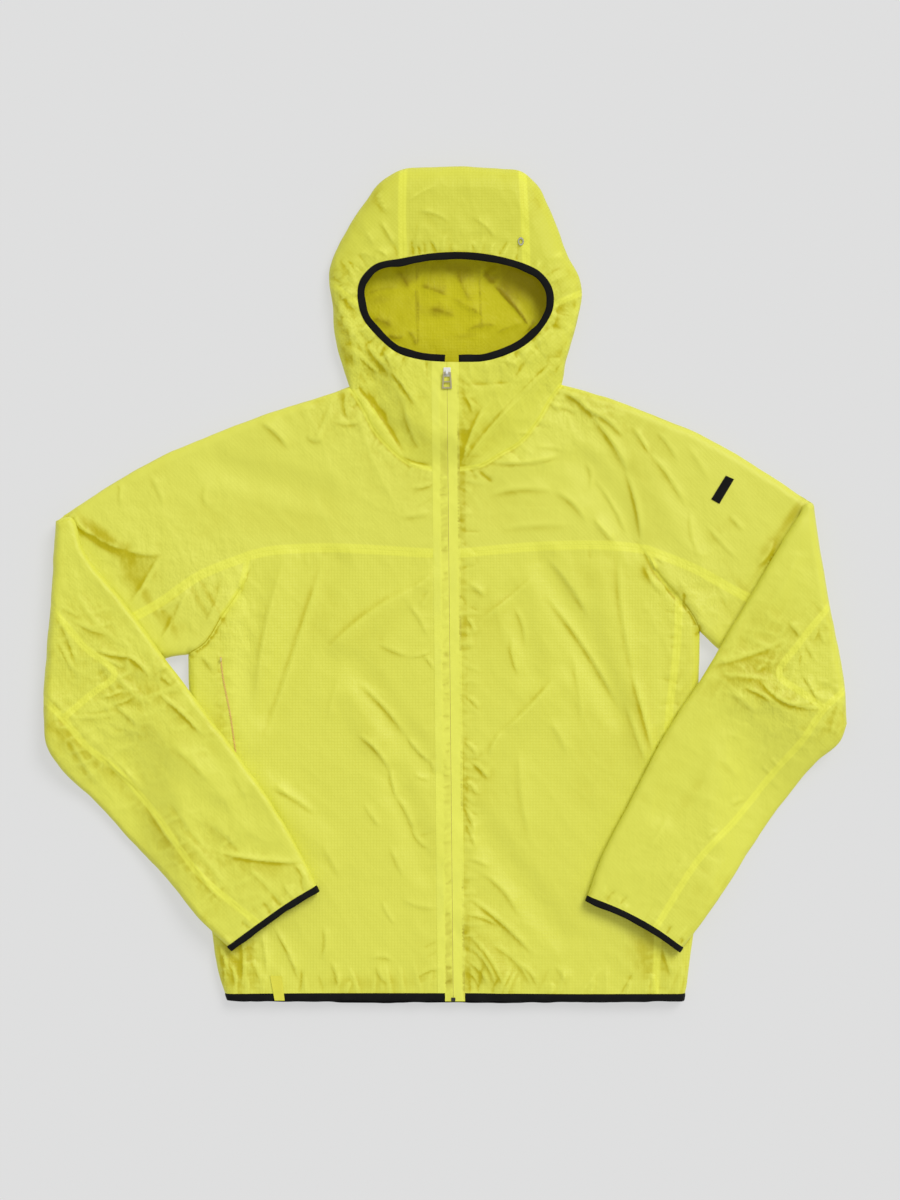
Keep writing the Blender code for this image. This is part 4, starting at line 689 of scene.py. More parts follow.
def detailHeight(kind, q, shade=None):
    # all the small relief of a sheet; shade gathers the painted shade beside its creases
    height = creaseHeight(creases[kind], q, shade)
    for *hill, rise in noiseHills[kind]:
        height += rise * softNoise(q, *hill)
    worn = wornAt(kind, q)
    for *hill, rise in crumples[kind]:
        height += rise * worn * (peaks["middle"] - np.abs(softNoise(q, *hill)) ** peaks["power"])
    if kind == "front":
        onHood = ease((q[:, 1] - peaks["hoodFrom"]) / peaks["hoodReach"]) * worn
        height += onHood * sum(rise * (peaks["hoodMiddle"] - np.abs(softNoise(q, *hill)))
                               for *hill, rise in hoodCrumples)
        for track, turn, rise, reach in overlaps:
            gap, _, _, hand = track.near(q)
            up = (hand * turn > 0) & (gap < 3 * reach)
            risen = rise * (1 - np.exp(-gap / overlap["rounding"])) * np.exp(-(gap / reach) ** 2)
            height += np.where(up, risen, 0)
            sunk = overlap["sink"] * rise * np.exp(-(gap / overlap["sinkReach"]) ** 2)
            height -= np.where(up, 0, sunk * ease(gap / overlap["meet"]))
        for loop in armLoops.values():  # the body lies quietly under the forearms
            under = inLoop(loop, q)
            if under.any():
                height[under] = np.minimum(height[under], 0) * peaks["pressed"]
                if shade is not None:
                    shade[under] = 0
    return height


rollDepths = [1 - math.cos(math.radians(a)) for a in mesh["rollAngles"]]
plan = {  # how the grid of a piece is laid, in steps or shares of a step, or in mm
    "shake": 0.18, "rowGap": 0.87, "fromEdge": 0.55, "coarse": 4, "flat": 0.92, "near": 30,
    "clear": (0.9, 0.8), "snug": (0.97, 0.02),
}


def outlineOf(stretches):
    # one closed outline, counterclockwise; rim marks corners on rolled edges
    points = np.vstack([line[:-1] for line, _ in stretches])
    kinds = sum(([kind] * (len(line) - 1) for line, kind in stretches), [])
    b = np.roll(points, -1, axis=0)
    if (points[:, 0] * b[:, 1] - b[:, 0] * points[:, 1]).sum() < 0:
        points, kinds = points[::-1], kinds[:-1][::-1] + kinds[-1:]
    rim = np.array([kinds[i - 1] != "seam" or kinds[i] != "seam" for i in range(len(kinds))])
    return points, kinds, rim


def rolledRows(points, loop, sheet):
    # rows of points along the rolled edges, closer together where the cloth turns over
    low, high = points.min(0) - 1, points.max(0) + 1
    rows = []
    for track, _, rollAt in sheet.edges:
        near = np.all((track.p > low - plan["near"]) & (track.p < high + plan["near"]), axis=1)
        if not near.any():
            continue
        c, n = track.p[near], track.normals[near]
        wide = rollAt(c)
        for depth in rollDepths:
            row = c + n * (depth * wide)[:, None]
            keep = np.all((row > low) & (row < high), axis=1)
            row, want = row[keep], (depth * wide)[keep]
            if not len(row):
                continue
            gap = np.min([t.near(row)[0] for t, _, _ in sheet.edges], axis=0)
            clear = loop.near(row)[0] > np.minimum(want * plan["clear"][0], plan["clear"][1])
            snug = gap > want * plan["snug"][0] - plan["snug"][1]
            rows.append(row[inLoop(points, row) & snug & clear])
    return rows


def fillPlan(points, sheet, step, seed):
    # triangles over an outline: rows along the rolled edges and a slightly uneven grid inside
    low, high = points.min(0) - 1, points.max(0) + 1
    loop = Track(np.vstack([points, points[:1]]))
    extra = rolledRows(points, loop, sheet)
    heights = np.arange(low[1], high[1], step * plan["rowGap"])
    grid = np.array([(x + (step / 2 if k % 2 else 0), y) for k, y in enumerate(heights)
                     for x in np.arange(low[0], high[0], step)])
    grid += uneven(seed).uniform(-plan["shake"], plan["shake"], grid.shape) * step
    grid = grid[inLoop(points, grid)]
    if len(grid):
        grid = grid[loop.near(grid)[0] > plan["fromEdge"] * min(step, plan["coarse"])]
    if len(grid):
        deep = np.min([t.near(grid)[0] / rollAt(grid) for t, _, rollAt in sheet.edges], axis=0)
        extra.append(grid[deep > plan["flat"]])
    count = len(points)
    around = [(i, (i + 1) % count) for i in range(count)]
    verts, _, faces, origin, _, _ = delaunay_2d_cdt([Vector(p) for p in np.vstack([points] + extra)],
                                                    around, [], 1, 1e-5)
    rimIndex = {min(o): i for i, o in enumerate(origin) if o and min(o) < count}
    return np.array([tuple(v) for v in verts]), [f for f in faces if len(f) == 3], rimIndex


def vertexNormals(p, tris):
    n = np.cross(p[tris[:, 1]] - p[tris[:, 0]], p[tris[:, 2]] - p[tris[:, 0]])
    out = np.zeros_like(p)
    for k in range(3):
        np.add.at(out, tris[:, k], n)
    return out / np.maximum(np.linalg.norm(out, axis=1), 1e-12)[:, None]


def addMesh(name, p, faces, attributes=(), outward=False):
    # a mesh from points in mm; outward turns its faces to the outside
    data = bpy.data.meshes.new(name)
    data.from_pydata((np.asarray(p) * mm).tolist(), [], [tuple(map(int, f)) for f in faces])
    for key, values in dict(attributes).items():
        values = np.asarray(values, np.float32)
        kind = "FLOAT" if values.ndim == 1 else "FLOAT_VECTOR"
        layer = data.attributes.new(key, kind, "POINT")
        layer.data.foreach_set("value" if values.ndim == 1 else "vector", values.ravel())
    data.polygons.foreach_set("use_smooth", [True] * len(data.polygons))
    data.update()
    if outward:
        turned = bmesh.new()
        turned.from_mesh(data)
        bmesh.ops.recalc_face_normals(turned, faces=turned.faces)
        turned.to_mesh(data)
        turned.free()
    obj = bpy.data.objects.new(name, data)
    scene.collection.objects.link(obj)
    return obj


pieces = {}


def put(obj, look, slot, node):
    # the finished piece takes its node's place in the jacket
    obj.data.materials.clear()
    obj.data.materials.append(look)
    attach(obj, "jacket")
    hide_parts(node)
    pieces[obj.name] = obj
    return obj


def seamGaps(kind, q):
    # distance to the nearest sewn line, and signed distance to the nearest seam tape's edge
    far = 30.0
    toSeam, toTape = np.full(len(q), far), np.full(len(q), far)
    low, high = q.min(0) - far, q.max(0) + far
    for track, half in tapes[kind]:
        gap = track.near(q)[0]
        toSeam = np.minimum(toSeam, gap)
        if np.any(np.all((track.p > low) & (track.p < high), axis=1)):
            toTape = np.minimum(toTape, gap - half)
    return toSeam, toTape


hollowShade = {"near": 0.9, "far": 0.42}  # painted shade: how much deeper in colour the hollows are, at two scales; crests are paler, a painted highlight


def edgePairs(tris):
    return np.vstack([tris[:, [0, 1]], tris[:, [1, 2]], tris[:, [2, 0]]])


def hollows(height, tris):
    # above zero where the surface is hollow and below where it is crested
    a, b = np.unique(np.sort(edgePairs(tris), axis=1), axis=0).T
    size = len(height)
    count = np.bincount(a, minlength=size) + np.bincount(b, minlength=size) + 1
    out, smooth = np.zeros(size), height
    for step in range(10):
        smooth = (smooth + np.bincount(a, smooth[b], size) + np.bincount(b, smooth[a], size)) / count
        if step in (1, 9):
            out += (smooth - height) * (hollowShade["near"] if step == 1 else hollowShade["far"])
    return out


def edgesOf(tris):
    # the edges that only one triangle has, in its own direction
    pairs = edgePairs(tris)
    key = pairs.min(1) * (tris.max() + 1) + pairs.max(1)
    _, first, count = np.unique(key, return_index=True, return_counts=True)
    return pairs[first[count == 1]]


def sharpen(obj, pairs):
    # hard edges along these pairs of vertices
    data = obj.data
    ends = np.zeros(len(data.edges) * 2, np.int64)
    data.edges.foreach_get("vertices", ends)
    ends, size = ends.reshape(-1, 2), len(data.vertices)
    sharp = np.isin(ends.min(1) * size + ends.max(1), pairs.min(1) * size + pairs.max(1))
    layer = data.attributes.get("sharp_edge") or data.attributes.new("sharp_edge", "BOOLEAN", "EDGE")
    layer.data.foreach_set("value", sharp)


leastCut = 0.011  # no cut is taken as narrower than this, in metres


def flatSize(at, area):
    # width and length of the cut that a piece of this plan and area came from, in metres
    _, _, axes = np.linalg.svd(at - at.mean(0), full_matrices=False)
    turned = (at - at.mean(0)) @ axes.T
    length, width = np.sort(turned.max(0) - turned.min(0))[::-1] * mm
    length, width = max(float(length), leastCut), max(float(width), leastCut)
    if area > width * length:
        width = area / length
    return (width, length), (area if area < 0.995 * width * length else None)


lay = {  # how the relief fades to the edges and layers of a piece
    "front": 4, "back": 12, "wave": 12, "hem": -446,
    "hidden": 0.4,  # relief of the hidden side
    "hoodBack": 0.5, "hoodFrom": 200, "hoodReach": 60, "hoodSink": 0.35, "hoodCrease": 0.8, "hoodShade": 0.6,
    "below": -0.02, "liftAt": 3, "tones": (-1.0, 1.3),
}


def laidDetail(sheet, at, depth):
    # the relief and the tone of a sheet over these points, faded out at its rolled edges; the tone carries
    # painted shade and painted highlight
    shade = np.zeros(len(at))
    detail = detailHeight(sheet.detail, at, shade)
    fade = ease(depth / (lay["front"] if sheet.facing > 0 else lay["back"]))
    if sheet.detail == "back":
        inside = lay["hoodCrease"] * creaseHeight(creases["inside"], at, shade)
        inside = inside + ease((at[:, 1] - lay["hoodFrom"]) / lay["hoodReach"])
        shade *= lay["hoodShade"]
        detail = np.minimum(detail * lay["hoodBack"] - lay["hoodSink"] - inside, lay["below"])
    elif sheet.facing < 0:
        detail = detail * lay["hidden"]
    return detail * fade, toneAt(sheet.detail, at) + shade * fade


def cloth(name, node, sides, look, slot, weave=0.0, lift=0.0, thin=None,
          seams=True):
    # a cut piece as two thin skins closed at the rim, its outer face shaped by the sheets it lies in
    points, tris, plans = [], [], []
    fields = {key: [] for key in ("tape", "stitch", "tone", "worn", "weave", "relief")}
    shared, flatArea, total = {}, 0.0, 0
    for sheetName, stretches, step in sides:
        sheet = sheets[sheetName]
        outline, kinds, rim = outlineOf(stretches)
        at, faces, rimIndex = fillPlan(outline, sheet, step, len(name))
        atRim = np.zeros(len(at), bool)
        for i, j in rimIndex.items():
            atRim[j] = rim[i]
        z, normal, sine, depth = sheet.place(at, atRim)
        flat = np.column_stack([at, z])
        relief, tone = laidDetail(sheet, at, depth)
        wave = edgeWave(at) * (1 - ease(depth / lay["wave"])) * ease(at[:, 1] - lay["hem"])
        p = flat + normal * (relief + wave + lift * np.minimum(1, sine * lay["liftAt"]))[:, None]
        p[:, 2] = np.maximum(p[:, 2], shape["table"])
        index = np.arange(len(at)) + total
        for i, j in rimIndex.items():  # both sides of a wrapped edge share its points
            if kinds[i] == "wrap" or kinds[i - 1] == "wrap":
                key = (round(float(outline[i][0]), 2), round(float(outline[i][1]), 2))
                index[j] = shared.setdefault(key, index[j])
        triangles = np.array(faces)
        if sheet.facing < 0:
            triangles = triangles[:, ::-1]
        a, b, c = (flat[triangles[:, k]] for k in range(3))
        flatArea += np.linalg.norm(np.cross(b - a, c - a), axis=1).sum() / 2
        tris.append(index[triangles])
        points.append(p)
        plans.append(at)
        turn = math.radians(weave)
        stitch, tape = seamGaps(sheet.detail if seams else "none", at)
        grid = (at[:, 0] * math.cos(turn) + at[:, 1] * math.sin(turn),
                at[:, 1] * math.cos(turn) - at[:, 0] * math.sin(turn), p[:, 2])
        for key, values in (("tape", tape), ("stitch", stitch), ("tone", tone), ("relief", relief),
                            ("worn", wornAt(sheet.detail, at)), ("weave", np.column_stack(grid))):
            fields[key].append(values)
        total += len(at)
    used, back = np.unique(np.vstack(tris), return_inverse=True)
    tris, p = back.reshape(-1, 3), np.vstack(points)[used]
    fields = {key: np.concatenate(values)[used] for key, values in fields.items()}
    # painted shade in the hollows of the relief and painted highlight on its crests
    fields["tone"] = np.clip(fields["tone"] + hollows(fields.pop("relief"), tris), *lay["tones"])
    inner = p - vertexNormals(p, tris) * (shape["shell"] if thin is None else thin)
    count, rimEdges = len(p), edgesOf(tris)
    a, b = rimEdges[:, 0], rimEdges[:, 1]
    wall = np.vstack([np.column_stack([b, a, a + count]), np.column_stack([b, a + count, b + count])])
    both = {key: np.concatenate([values, values]) for key, values in fields.items()}
    obj = addMesh(name, np.vstack([p, inner]), np.vstack([tris, tris[:, ::-1] + count, wall]),
                  {**both, "inside": np.repeat([0.0, 1.0], count)})
    sharpen(obj, np.vstack([rimEdges, rimEdges + count]))
    put(obj, look, slot, node)
    size, area = flatSize(np.vstack(plans), float(flatArea) * mm * mm)
    return obj


# Seam tapes that show through the cloth: sheet, line key, its first and last point, half width.
tapes = {kind: [] for kind in ("front", "back", "under", "rightArm", "leftArm", "none")}
for s in ("right", "left"):
    for kind, key, *ends, half in (
            ("front", "yoke", 5.2), ("front", "yokeArm", 5.2), ("front", "crown", 4.6), ("front", "ear", 3.4),
            ("front", "neck", 2.6), ("front", "armhole", 0, 2, 3.2), ("back", "raglan", 5.0),
            ("back", "crownBack", 4.6), ("back", "backSide", 3.4), ("back", "armBack", 3.4),
            (s + "Arm", "long", 3.7), (s + "Arm", "patch", 3.7)):
        tapes[kind].append((Track(side(s, key, *ends)), half))
tapes["front"].append((Track(side("left", "frontSide")), 4.2))
tapes["back"].append((Track(linePoints(nape)), 3.5))

# Soft patches of tone: middle, half length, half width, turn in degrees, amount. Above zero is
# golden painted shade, in folds, where cloth is doubled over air and under the hood's edge; below
# zero is paler: painted highlight on ridges, and the facings' own paler bands beside the side seams.
patches = {
    "front": [
        (-385, 58, 28, 10, -38, 0.9), (-346, 16, 15, 24, 16, 0.8), (-360, 40, 30, 10, -28, 0.6),
        (-318, 22, 30, 18, 60, 0.3), (-234, -400, 16, 44, 0, 0.8), (-214, -400, 8, 40, 4, 0.5),
        (-196, -404, 7, 36, 6, -0.5), (224, -398, 22, 42, 0, 0.45), (-240, -8, 14, 22, 30, 0.4),
        (222, 14, 10, 8, -50, 0.7), (258, -12, 9, 12, -40, 0.8), (236, 10, 30, 3, -52, 0.7),
        (-225, -110, 13, 110, 4, -1.1), (-246, -120, 10, 70, 0, 0.25), (234, -100, 6, 110, 4, -0.5),
        (-322, -24, 30, 6, -58, 0.75), (-303, -40, 26, 5, -62, 0.6), (-290, -20, 30, 4, -60, -0.6),
        (-268, -22, 34, 4, -60, 0.55), (-250, -28, 40, 3.5, -58, 0.7), (-231, -6, 34, 4, -60, -1.3),
        (-282, -50, 22, 7, -20, 0.3), (380, 76, 26, 6, 57, 0.9), (356, 38, 20, 11, 60, 0.75),
        (340, 10, 24, 5, 57, 0.4), (-97, 215, 12, 60, -30, 0.25), (-62, 172, 10, 40, -40, 0.25),
        (24, 170, 8, 60, 0, 0.4), (-228, -212, 14, 14, 0, 0.5), (60, -430, 60, 12, 0, 0.25),
        (-90, -436, 90, 8, 0, 0.25), (-20, 362, 60, 7, 0, 0.3), (-200, 130, 70, 30, 20, -0.15),
        (330, -10, 46, 5, -55, 0.4), (-300, -10, 40, 8, -52, 0.3), (300, 60, 26, 10, 40, 0.35),
    ],
    "rightArm": [
        (-410, -170, 40, 12, -45, 0.4), (-380, -200, 50, 10, -46, 0.35), (-300, -285, 70, 12, -50, 0.3),
        (-200, -310, 50, 10, -10, 0.3), (-340, -118, 40, 14, 10, 0.25),
    ],
    "leftArm": [
        (340, -90, 46, 12, 18, 0.35), (380, -120, 40, 12, -12, 0.35), (425, -150, 16, 18, 0, 0.2),
        (352, -172, 44, 26, -40, -0.4), (268, -230, 60, 8, 58, 0.2),
    ],
    "back": [
        (82, 335, 38, 15, -25, 1.0), (108, 312, 12, 24, 0, 0.8), (18, 344, 16, 8, 0, 0.55),
        (-50, 337, 16, 7, 10, 0.45), (-72, 315, 14, 6, 15, 0.45), (-15, 302, 14, 6.5, -20, 0.3),
        (0, 352, 110, 7, 0, 0.45), (1, 314, 34, 3.5, -22, -0.7), (10, 328, 17, 5, -58, -0.5),
        (23, 275, 14, 4, 8, 0.4), (-70, 288, 14, 6, -10, 0.2), (62, 300, 24, 13, -38, -0.6),
        (-10, 284, 26, 10, 5, -0.4), (76, 280, 16, 4, 25, -0.5), (-52, 268, 12, 4, 20, -0.5),
        (68, 322, 26, 6, -45, 0.5),
    ],
    "under": [],
}
# Strips beside the zip: from and to beside its middle line, and amount. The pale strips are the facings;
# the golden strip at the left tape's outer edge is painted shade along the folded edge of the front there.
zipStrips = [(-9.0, 0.0, 0.42), (-17.5, -9.0, -0.7), (0.4, 9.8, -0.6), (9.8, 19.0, 0.42)]


toneSpread = {  # clouds of tone all over, the edge of a patch, and the unevenness beside the zip
    "clouds": (60, 61), "cloudShare": 0.22, "power": 1.2,
    "zipTop": 240, "zipFade": 20, "zipEdge": 2, "zipClouds": (30, 62), "zipShares": (0.75, 0.5),
}


def toneAt(kind, q):
    tone = toneSpread["cloudShare"] * softNoise(q, *toneSpread["clouds"])
    for x, y, half, wide, turn, amount in patches[kind]:
        a = math.radians(turn)
        u = ((q[:, 0] - x) * math.cos(a) + (q[:, 1] - y) * math.sin(a)) / half
        v = (-(q[:, 0] - x) * math.sin(a) + (q[:, 1] - y) * math.cos(a)) / wide
        tone += amount * np.exp(-(u * u + v * v) ** toneSpread["power"])
    if kind == "front":
        for track, turn, _, _ in overlaps:  # painted shadow, deeper in colour just under a lapping fold
            gap, _, _, hand = track.near(q)
            below = ease(0.5 - gap * hand * turn / overlap["toneEdge"])
            tone += overlap["tone"] * np.exp(-(gap / overlap["toneReach"]) ** 2) * below
        beside = q[:, 0] - zipX(q[:, 1])
        onFront = ease((toneSpread["zipTop"] - q[:, 1]) / toneSpread["zipFade"])
        even, patchy = toneSpread["zipShares"]
        patchy = even + patchy * softNoise(q, *toneSpread["zipClouds"])
        for low, high, amount in zipStrips:
            within = [ease(gap / toneSpread["zipEdge"] + 0.5) for gap in (beside - low, high - beside)]
            tone += amount * onFront * patchy * within[0] * within[1]
    return tone


class Socket:
    # a shader socket that can be added, multiplied and so on, each as a Math node
    def __init__(self, shader, link):
        self.shader, self.link = shader, link

    def math(self, operation, other=None, swap=False):
        values = [self, other] if not swap else [other, self]
        node = self.shader.node("ShaderNodeMath", {"operation": operation},
                                {i: v for i, v in enumerate(values) if v is not None})
        return Socket(self.shader, node.outputs[0])

    def __add__(self, other): return self.math("ADD", other)
    def __radd__(self, other): return self.math("ADD", other, True)
    def __sub__(self, other): return self.math("SUBTRACT", other)
    def __rsub__(self, other): return self.math("SUBTRACT", other, True)
    def __mul__(self, other): return self.math("MULTIPLY", other)
    def __rmul__(self, other): return self.math("MULTIPLY", other, True)
    def __truediv__(self, other): return self.math("DIVIDE", other)
    def __rtruediv__(self, other): return self.math("DIVIDE", other, True)

    def absolute(self): return self.math("ABSOLUTE")
    def fraction(self): return self.math("FRACT")
    def sine(self): return self.math("SINE")
    def most(self, other): return self.math("MAXIMUM", other)

    def between(self, low, high, toLow=0.0, toHigh=1.0):
        node = self.shader.node("ShaderNodeMapRange", {"interpolation_type": "SMOOTHSTEP"}, {
            "Value": self, "From Min": low, "From Max": high, "To Min": toLow, "To Max": toHigh})
        return Socket(self.shader, node.outputs["Result"])


class Shader:
    # one Principled material and the nodes that feed it
    def __init__(self, name):
        self.material = bpy.data.materials.new(name)
        self.material.use_nodes = True
        self.tree = self.material.node_tree
        self.principled = self.tree.nodes["Principled BSDF"]

    def node(self, kind, settings=None, inputs=None):
        made = self.tree.nodes.new(kind)
        for key, value in (settings or {}).items():
            setattr(made, key, value)
        for key, value in (inputs or {}).items():
            self.feed(made.inputs[key], value)
        return made

    def feed(self, socket, value):
        if isinstance(value, Socket):
            self.tree.links.new(value.link, socket)
        elif hasattr(socket.default_value, "__len__") and not hasattr(value, "__len__"):
            socket.default_value = [value] * len(socket.default_value)
        elif hasattr(value, "__len__") and len(value) == 3 and len(socket.default_value) == 4:
            socket.default_value = (*value, 1)
        else:
            socket.default_value = value

    def attribute(self, name, output="Fac"):
        return Socket(self, self.node("ShaderNodeAttribute", {"attribute_name": name}).outputs[output])

    def position(self):
        return Socket(self, self.node("ShaderNodeTexCoord").outputs["Object"])

    def split(self, vector):
        parts = self.node("ShaderNodeSeparateXYZ", None, {0: vector})
        return [Socket(self, parts.outputs[k]) for k in range(3)]

    def noise(self, vector, scale, detail=2.0, rough=0.5):
        made = self.node("ShaderNodeTexNoise", None,
                         {"Vector": vector, "Scale": scale, "Detail": detail, "Roughness": rough})
        return Socket(self, made.outputs["Fac"])

    def crumpled(self, vector, scale):
        # flat facets that meet in creases, as thin crisp cloth keeps after packing
        made = self.node("ShaderNodeTexVoronoi", {"feature": "SMOOTH_F1"},
                         {"Vector": vector, "Scale": scale, "Smoothness": 0.25, "Randomness": 1.0})
        return Socket(self, made.outputs["Distance"])

    def mix(self, share, a, b, blend="MIX"):
        made = self.node("ShaderNodeMix", {"data_type": "RGBA", "blend_type": blend})
        for key, value in ((0, share), (6, a), (7, b)):
            self.feed(made.inputs[key], value)
        return Socket(self, made.outputs[2])

    def stretched(self, vector, scale):
        made = self.node("ShaderNodeMapping", None, {"Vector": vector, "Scale": scale})
        return Socket(self, made.outputs["Vector"])

    def bump(self, height, strength, distance, below=None):
        inputs = {"Height": height, "Strength": strength, "Distance": distance}
        if below is not None:
            inputs["Normal"] = below
        return Socket(self, self.node("ShaderNodeBump", None, inputs).outputs["Normal"])

    def set(self, **inputs):
        for key, value in inputs.items():
            self.feed(self.principled.inputs[key.replace("_", " ")], value)
        return self.material


colours = {
    "front": (0.655, 0.666, 0.091), "yoke": (0.655, 0.665, 0.097), "sleeve": (0.65, 0.664, 0.09),
    # the cloth's inner face is set darker and more golden, a painted shade of the jacket's hollow
    "hood": (0.608, 0.618, 0.079), "chin": (0.645, 0.655, 0.085), "shadedInside": (0.51, 0.465, 0.002),
    "glow": (0.755, 0.77, 0.092),  # over a seam tape
    "goldenShade": (0.44, 0.385, 0.002), "deep": (0.21, 0.15, 0.0),  # golden painted shade of folds and hollows outside, deep painted shade inside the jacket
    # the pale colour is the facings' own paler band and the painted highlight on crests
    "paleAndHighlight": (0.735, 0.75, 0.12), "tape": (0.81, 0.82, 0.09),
    "coil": (0.74, 0.60, 0.22), "pocketCoil": (0.86, 0.42, 0.20), "bead": (0.66, 0.58, 0.24),
}
paintedThroughLight = (0.075, 0.068, 0.0)  # painted light: a faint golden glow of every cloth face, standing in for light coming through one thin layer
weaves = {"ripstop": 3.3, "thread": 0.55, "herring": 0.8, "herringTurn": 1.6, "rib": (0.9, 1.3)}  # pitch


def waves(at, apart):
    return (at * (2 * math.pi / apart)).sine()


crispCloth = {  # noise scales, and how strongly each kind of crumple shows in painted shade and in relief
    "clouds": (9, 3), "crumple": (60, 4, 0.6), "creased": (90, 38, 60), "facets": 62,
    "crumpleShade": 0.6, "creaseMiddle": 0.09, "creaseShade": 1.2, "cloudTone": 0.2,
    "goldenShade": (0.0, 1.15), "paleAndHighlight": (0.05, 1.3), "insideShade": (-0.2, 1.1), "glow": 0.72, "inside": 0.9,
    "threadDark": (0.88, 0.87, 0.62), "stitchDark": 0.2,
    "creases": (0.9, 0.5, 0.75, 0.0026),  # relief of creases and facets, strength, depth in metres
    "weave": (0.5, 0.06, 0.2, 0.4, 0.4, 0.0004),  # of lines, threads, tapes, stitches, likewise
    "rough": (0.12, 0.40, 0.05),
}


def ripstop(name, base, grid, shine):
    # thin cloth with a thicker thread at even steps both ways, and what shows through it
    s, c = Shader(name), crispCloth
    x, y, _ = s.split(s.attribute("weave", "Vector"))
    pos = s.position()
    glow, goldenShade, paleAndHighlight = (colours[k] for k in ("glow", "goldenShade", "paleAndHighlight"))
    thickX, thickY = (((v / weaves["ripstop"]).fraction() - 0.5).absolute().between(0.33, 0.47)
                      for v in (x, y))
    lines = thickX.most(thickY)
    threads = waves(x, weaves["thread"]) * waves(y, weaves["thread"])
    cloud = s.noise(pos, *c["clouds"])
    crumple = s.noise(pos, *c["crumple"])
    creased = (s.noise(s.stretched(pos, c["creased"]), 1, 3, 0.6) - 0.5).absolute()
    facets = s.crumpled(pos, c["facets"])
    onTape = s.attribute("tape").between(-1.4, 1.2, 1.0, 0.0)
    stitch = s.attribute("stitch").between(0.2, 1.3, 1.0, 0.0)
    worn = s.attribute("worn")
    # painted shade in the hollows of the fine crumples and along their creases, paler on their crests
    crumpleShade = (0.5 - crumple) * c["crumpleShade"] + (c["creaseMiddle"] - creased) * c["creaseShade"]
    tone = s.attribute("tone") + crumpleShade * worn + (cloud - 0.5) * c["cloudTone"]
    # tone above zero paints a golden shade, below zero a pale highlight
    colour = s.mix(tone.between(*c["goldenShade"]), base, goldenShade)
    colour = s.mix((tone * -1.0).between(*c["paleAndHighlight"]), colour, paleAndHighlight)
    colour = s.mix(onTape * c["glow"], colour, glow)
    # the inner face takes a painted shade, deepest where tone is high
    inside = s.attribute("inside")
    insideShade = s.mix(tone.between(*c["insideShade"]), colours["shadedInside"], colours["deep"])
    colour = s.mix(inside * c["inside"], colour, insideShade)
    dark = s.mix(1.0, colour, c["threadDark"], "MULTIPLY")
    colour = s.mix((lines * grid).most(stitch * c["stitchDark"]), colour, dark)
    crease, facet, strength, depth = c["creases"]
    normal = s.bump((crumple - creased * crease + facets * facet) * worn, strength, depth)
    line, thread, raised, sunk, strength, depth = c["weave"]
    relief = lines * line + threads * thread + onTape * raised - stitch * sunk
    normal = s.bump(relief, strength, depth, normal)
    varied, rough, smoother = c["rough"]
    # the faint emission is painted light, a stand-in for light through the thin cloth
    return s.set(Base_Color=colour, Roughness=cloud * varied + (rough - lines * smoother), Normal=normal,
                 Specular_IOR_Level=shine, Emission_Color=paintedThroughLight, Emission_Strength=1.0)


def wovenTape(name, base, paleAndHighlight):
    # a close herringbone tape
    s = Shader(name)
    x, y, _ = s.split(s.attribute("weave", "Vector"))
    turned = ((y / weaves["herringTurn"]).fraction() - 0.5).absolute() * weaves["herringTurn"]
    herring = waves(x + turned, weaves["herring"])
    cloud = s.noise(s.position(), 14, 3)
    tone = s.attribute("tone") + (cloud - 0.5) * 0.3
    # tone paints a golden shade above zero and a pale highlight below it, as on the cloth
    colour = s.mix(tone.between(0.0, 1.1), base, colours["goldenShade"])
    colour = s.mix((tone * -1.0).between(0.1, 1.2), colour, paleAndHighlight)
    normal = s.bump(s.noise(s.position(), 70, 3), 0.3, 0.0014)
    normal = s.bump(herring, 0.25, 0.0002, normal)
    return s.set(Base_Color=colour, Roughness=cloud * 0.1 + 0.5, Normal=normal, Sheen_Weight=0.1)


def elastic(name, base, paleRibAndSheen):
    # ribbed black elastic
    s = Shader(name)
    x, y, _ = s.split(s.attribute("weave", "Vector"))
    ribs = waves(x, weaves["rib"][0]) * 0.5 + waves(y, weaves["rib"][1]) * 0.5
    cloud = s.noise(s.position(), 60, 3)
    # lighter in clouds and along the ribs, partly the knit's own unevenness and partly a painted sheen
    colour = s.mix((ribs * 0.25 + cloud).between(0.35, 1.1), base, paleRibAndSheen)
    normal = s.bump(ribs * 0.5 + cloud, 0.6, 0.0004)
    return s.set(Base_Color=colour, Roughness=cloud * 0.15 + 0.75, Normal=normal,
                 Specular_IOR_Level=0.14)


def metalLook(name, base, rough):
    s = Shader(name)
    brushed = s.noise(s.stretched(s.position(), (400, 3000, 400)), 1, 3)
    return s.set(Base_Color=s.mix(brushed * 0.25, base, [c * 0.6 for c in base]), Metallic=1.0,
                 Roughness=brushed * 0.15 + rough, Normal=s.bump(brushed, 0.15, 0.0001))


def plasticLook(name, base, rough):
    s = Shader(name)
    grain = s.noise(s.position(), 900, 3)
    return s.set(Base_Color=s.mix(grain * 0.3, base, [c * 0.7 for c in base]),
                 Roughness=grain * 0.15 + rough, Normal=s.bump(grain, 0.2, 0.0001))


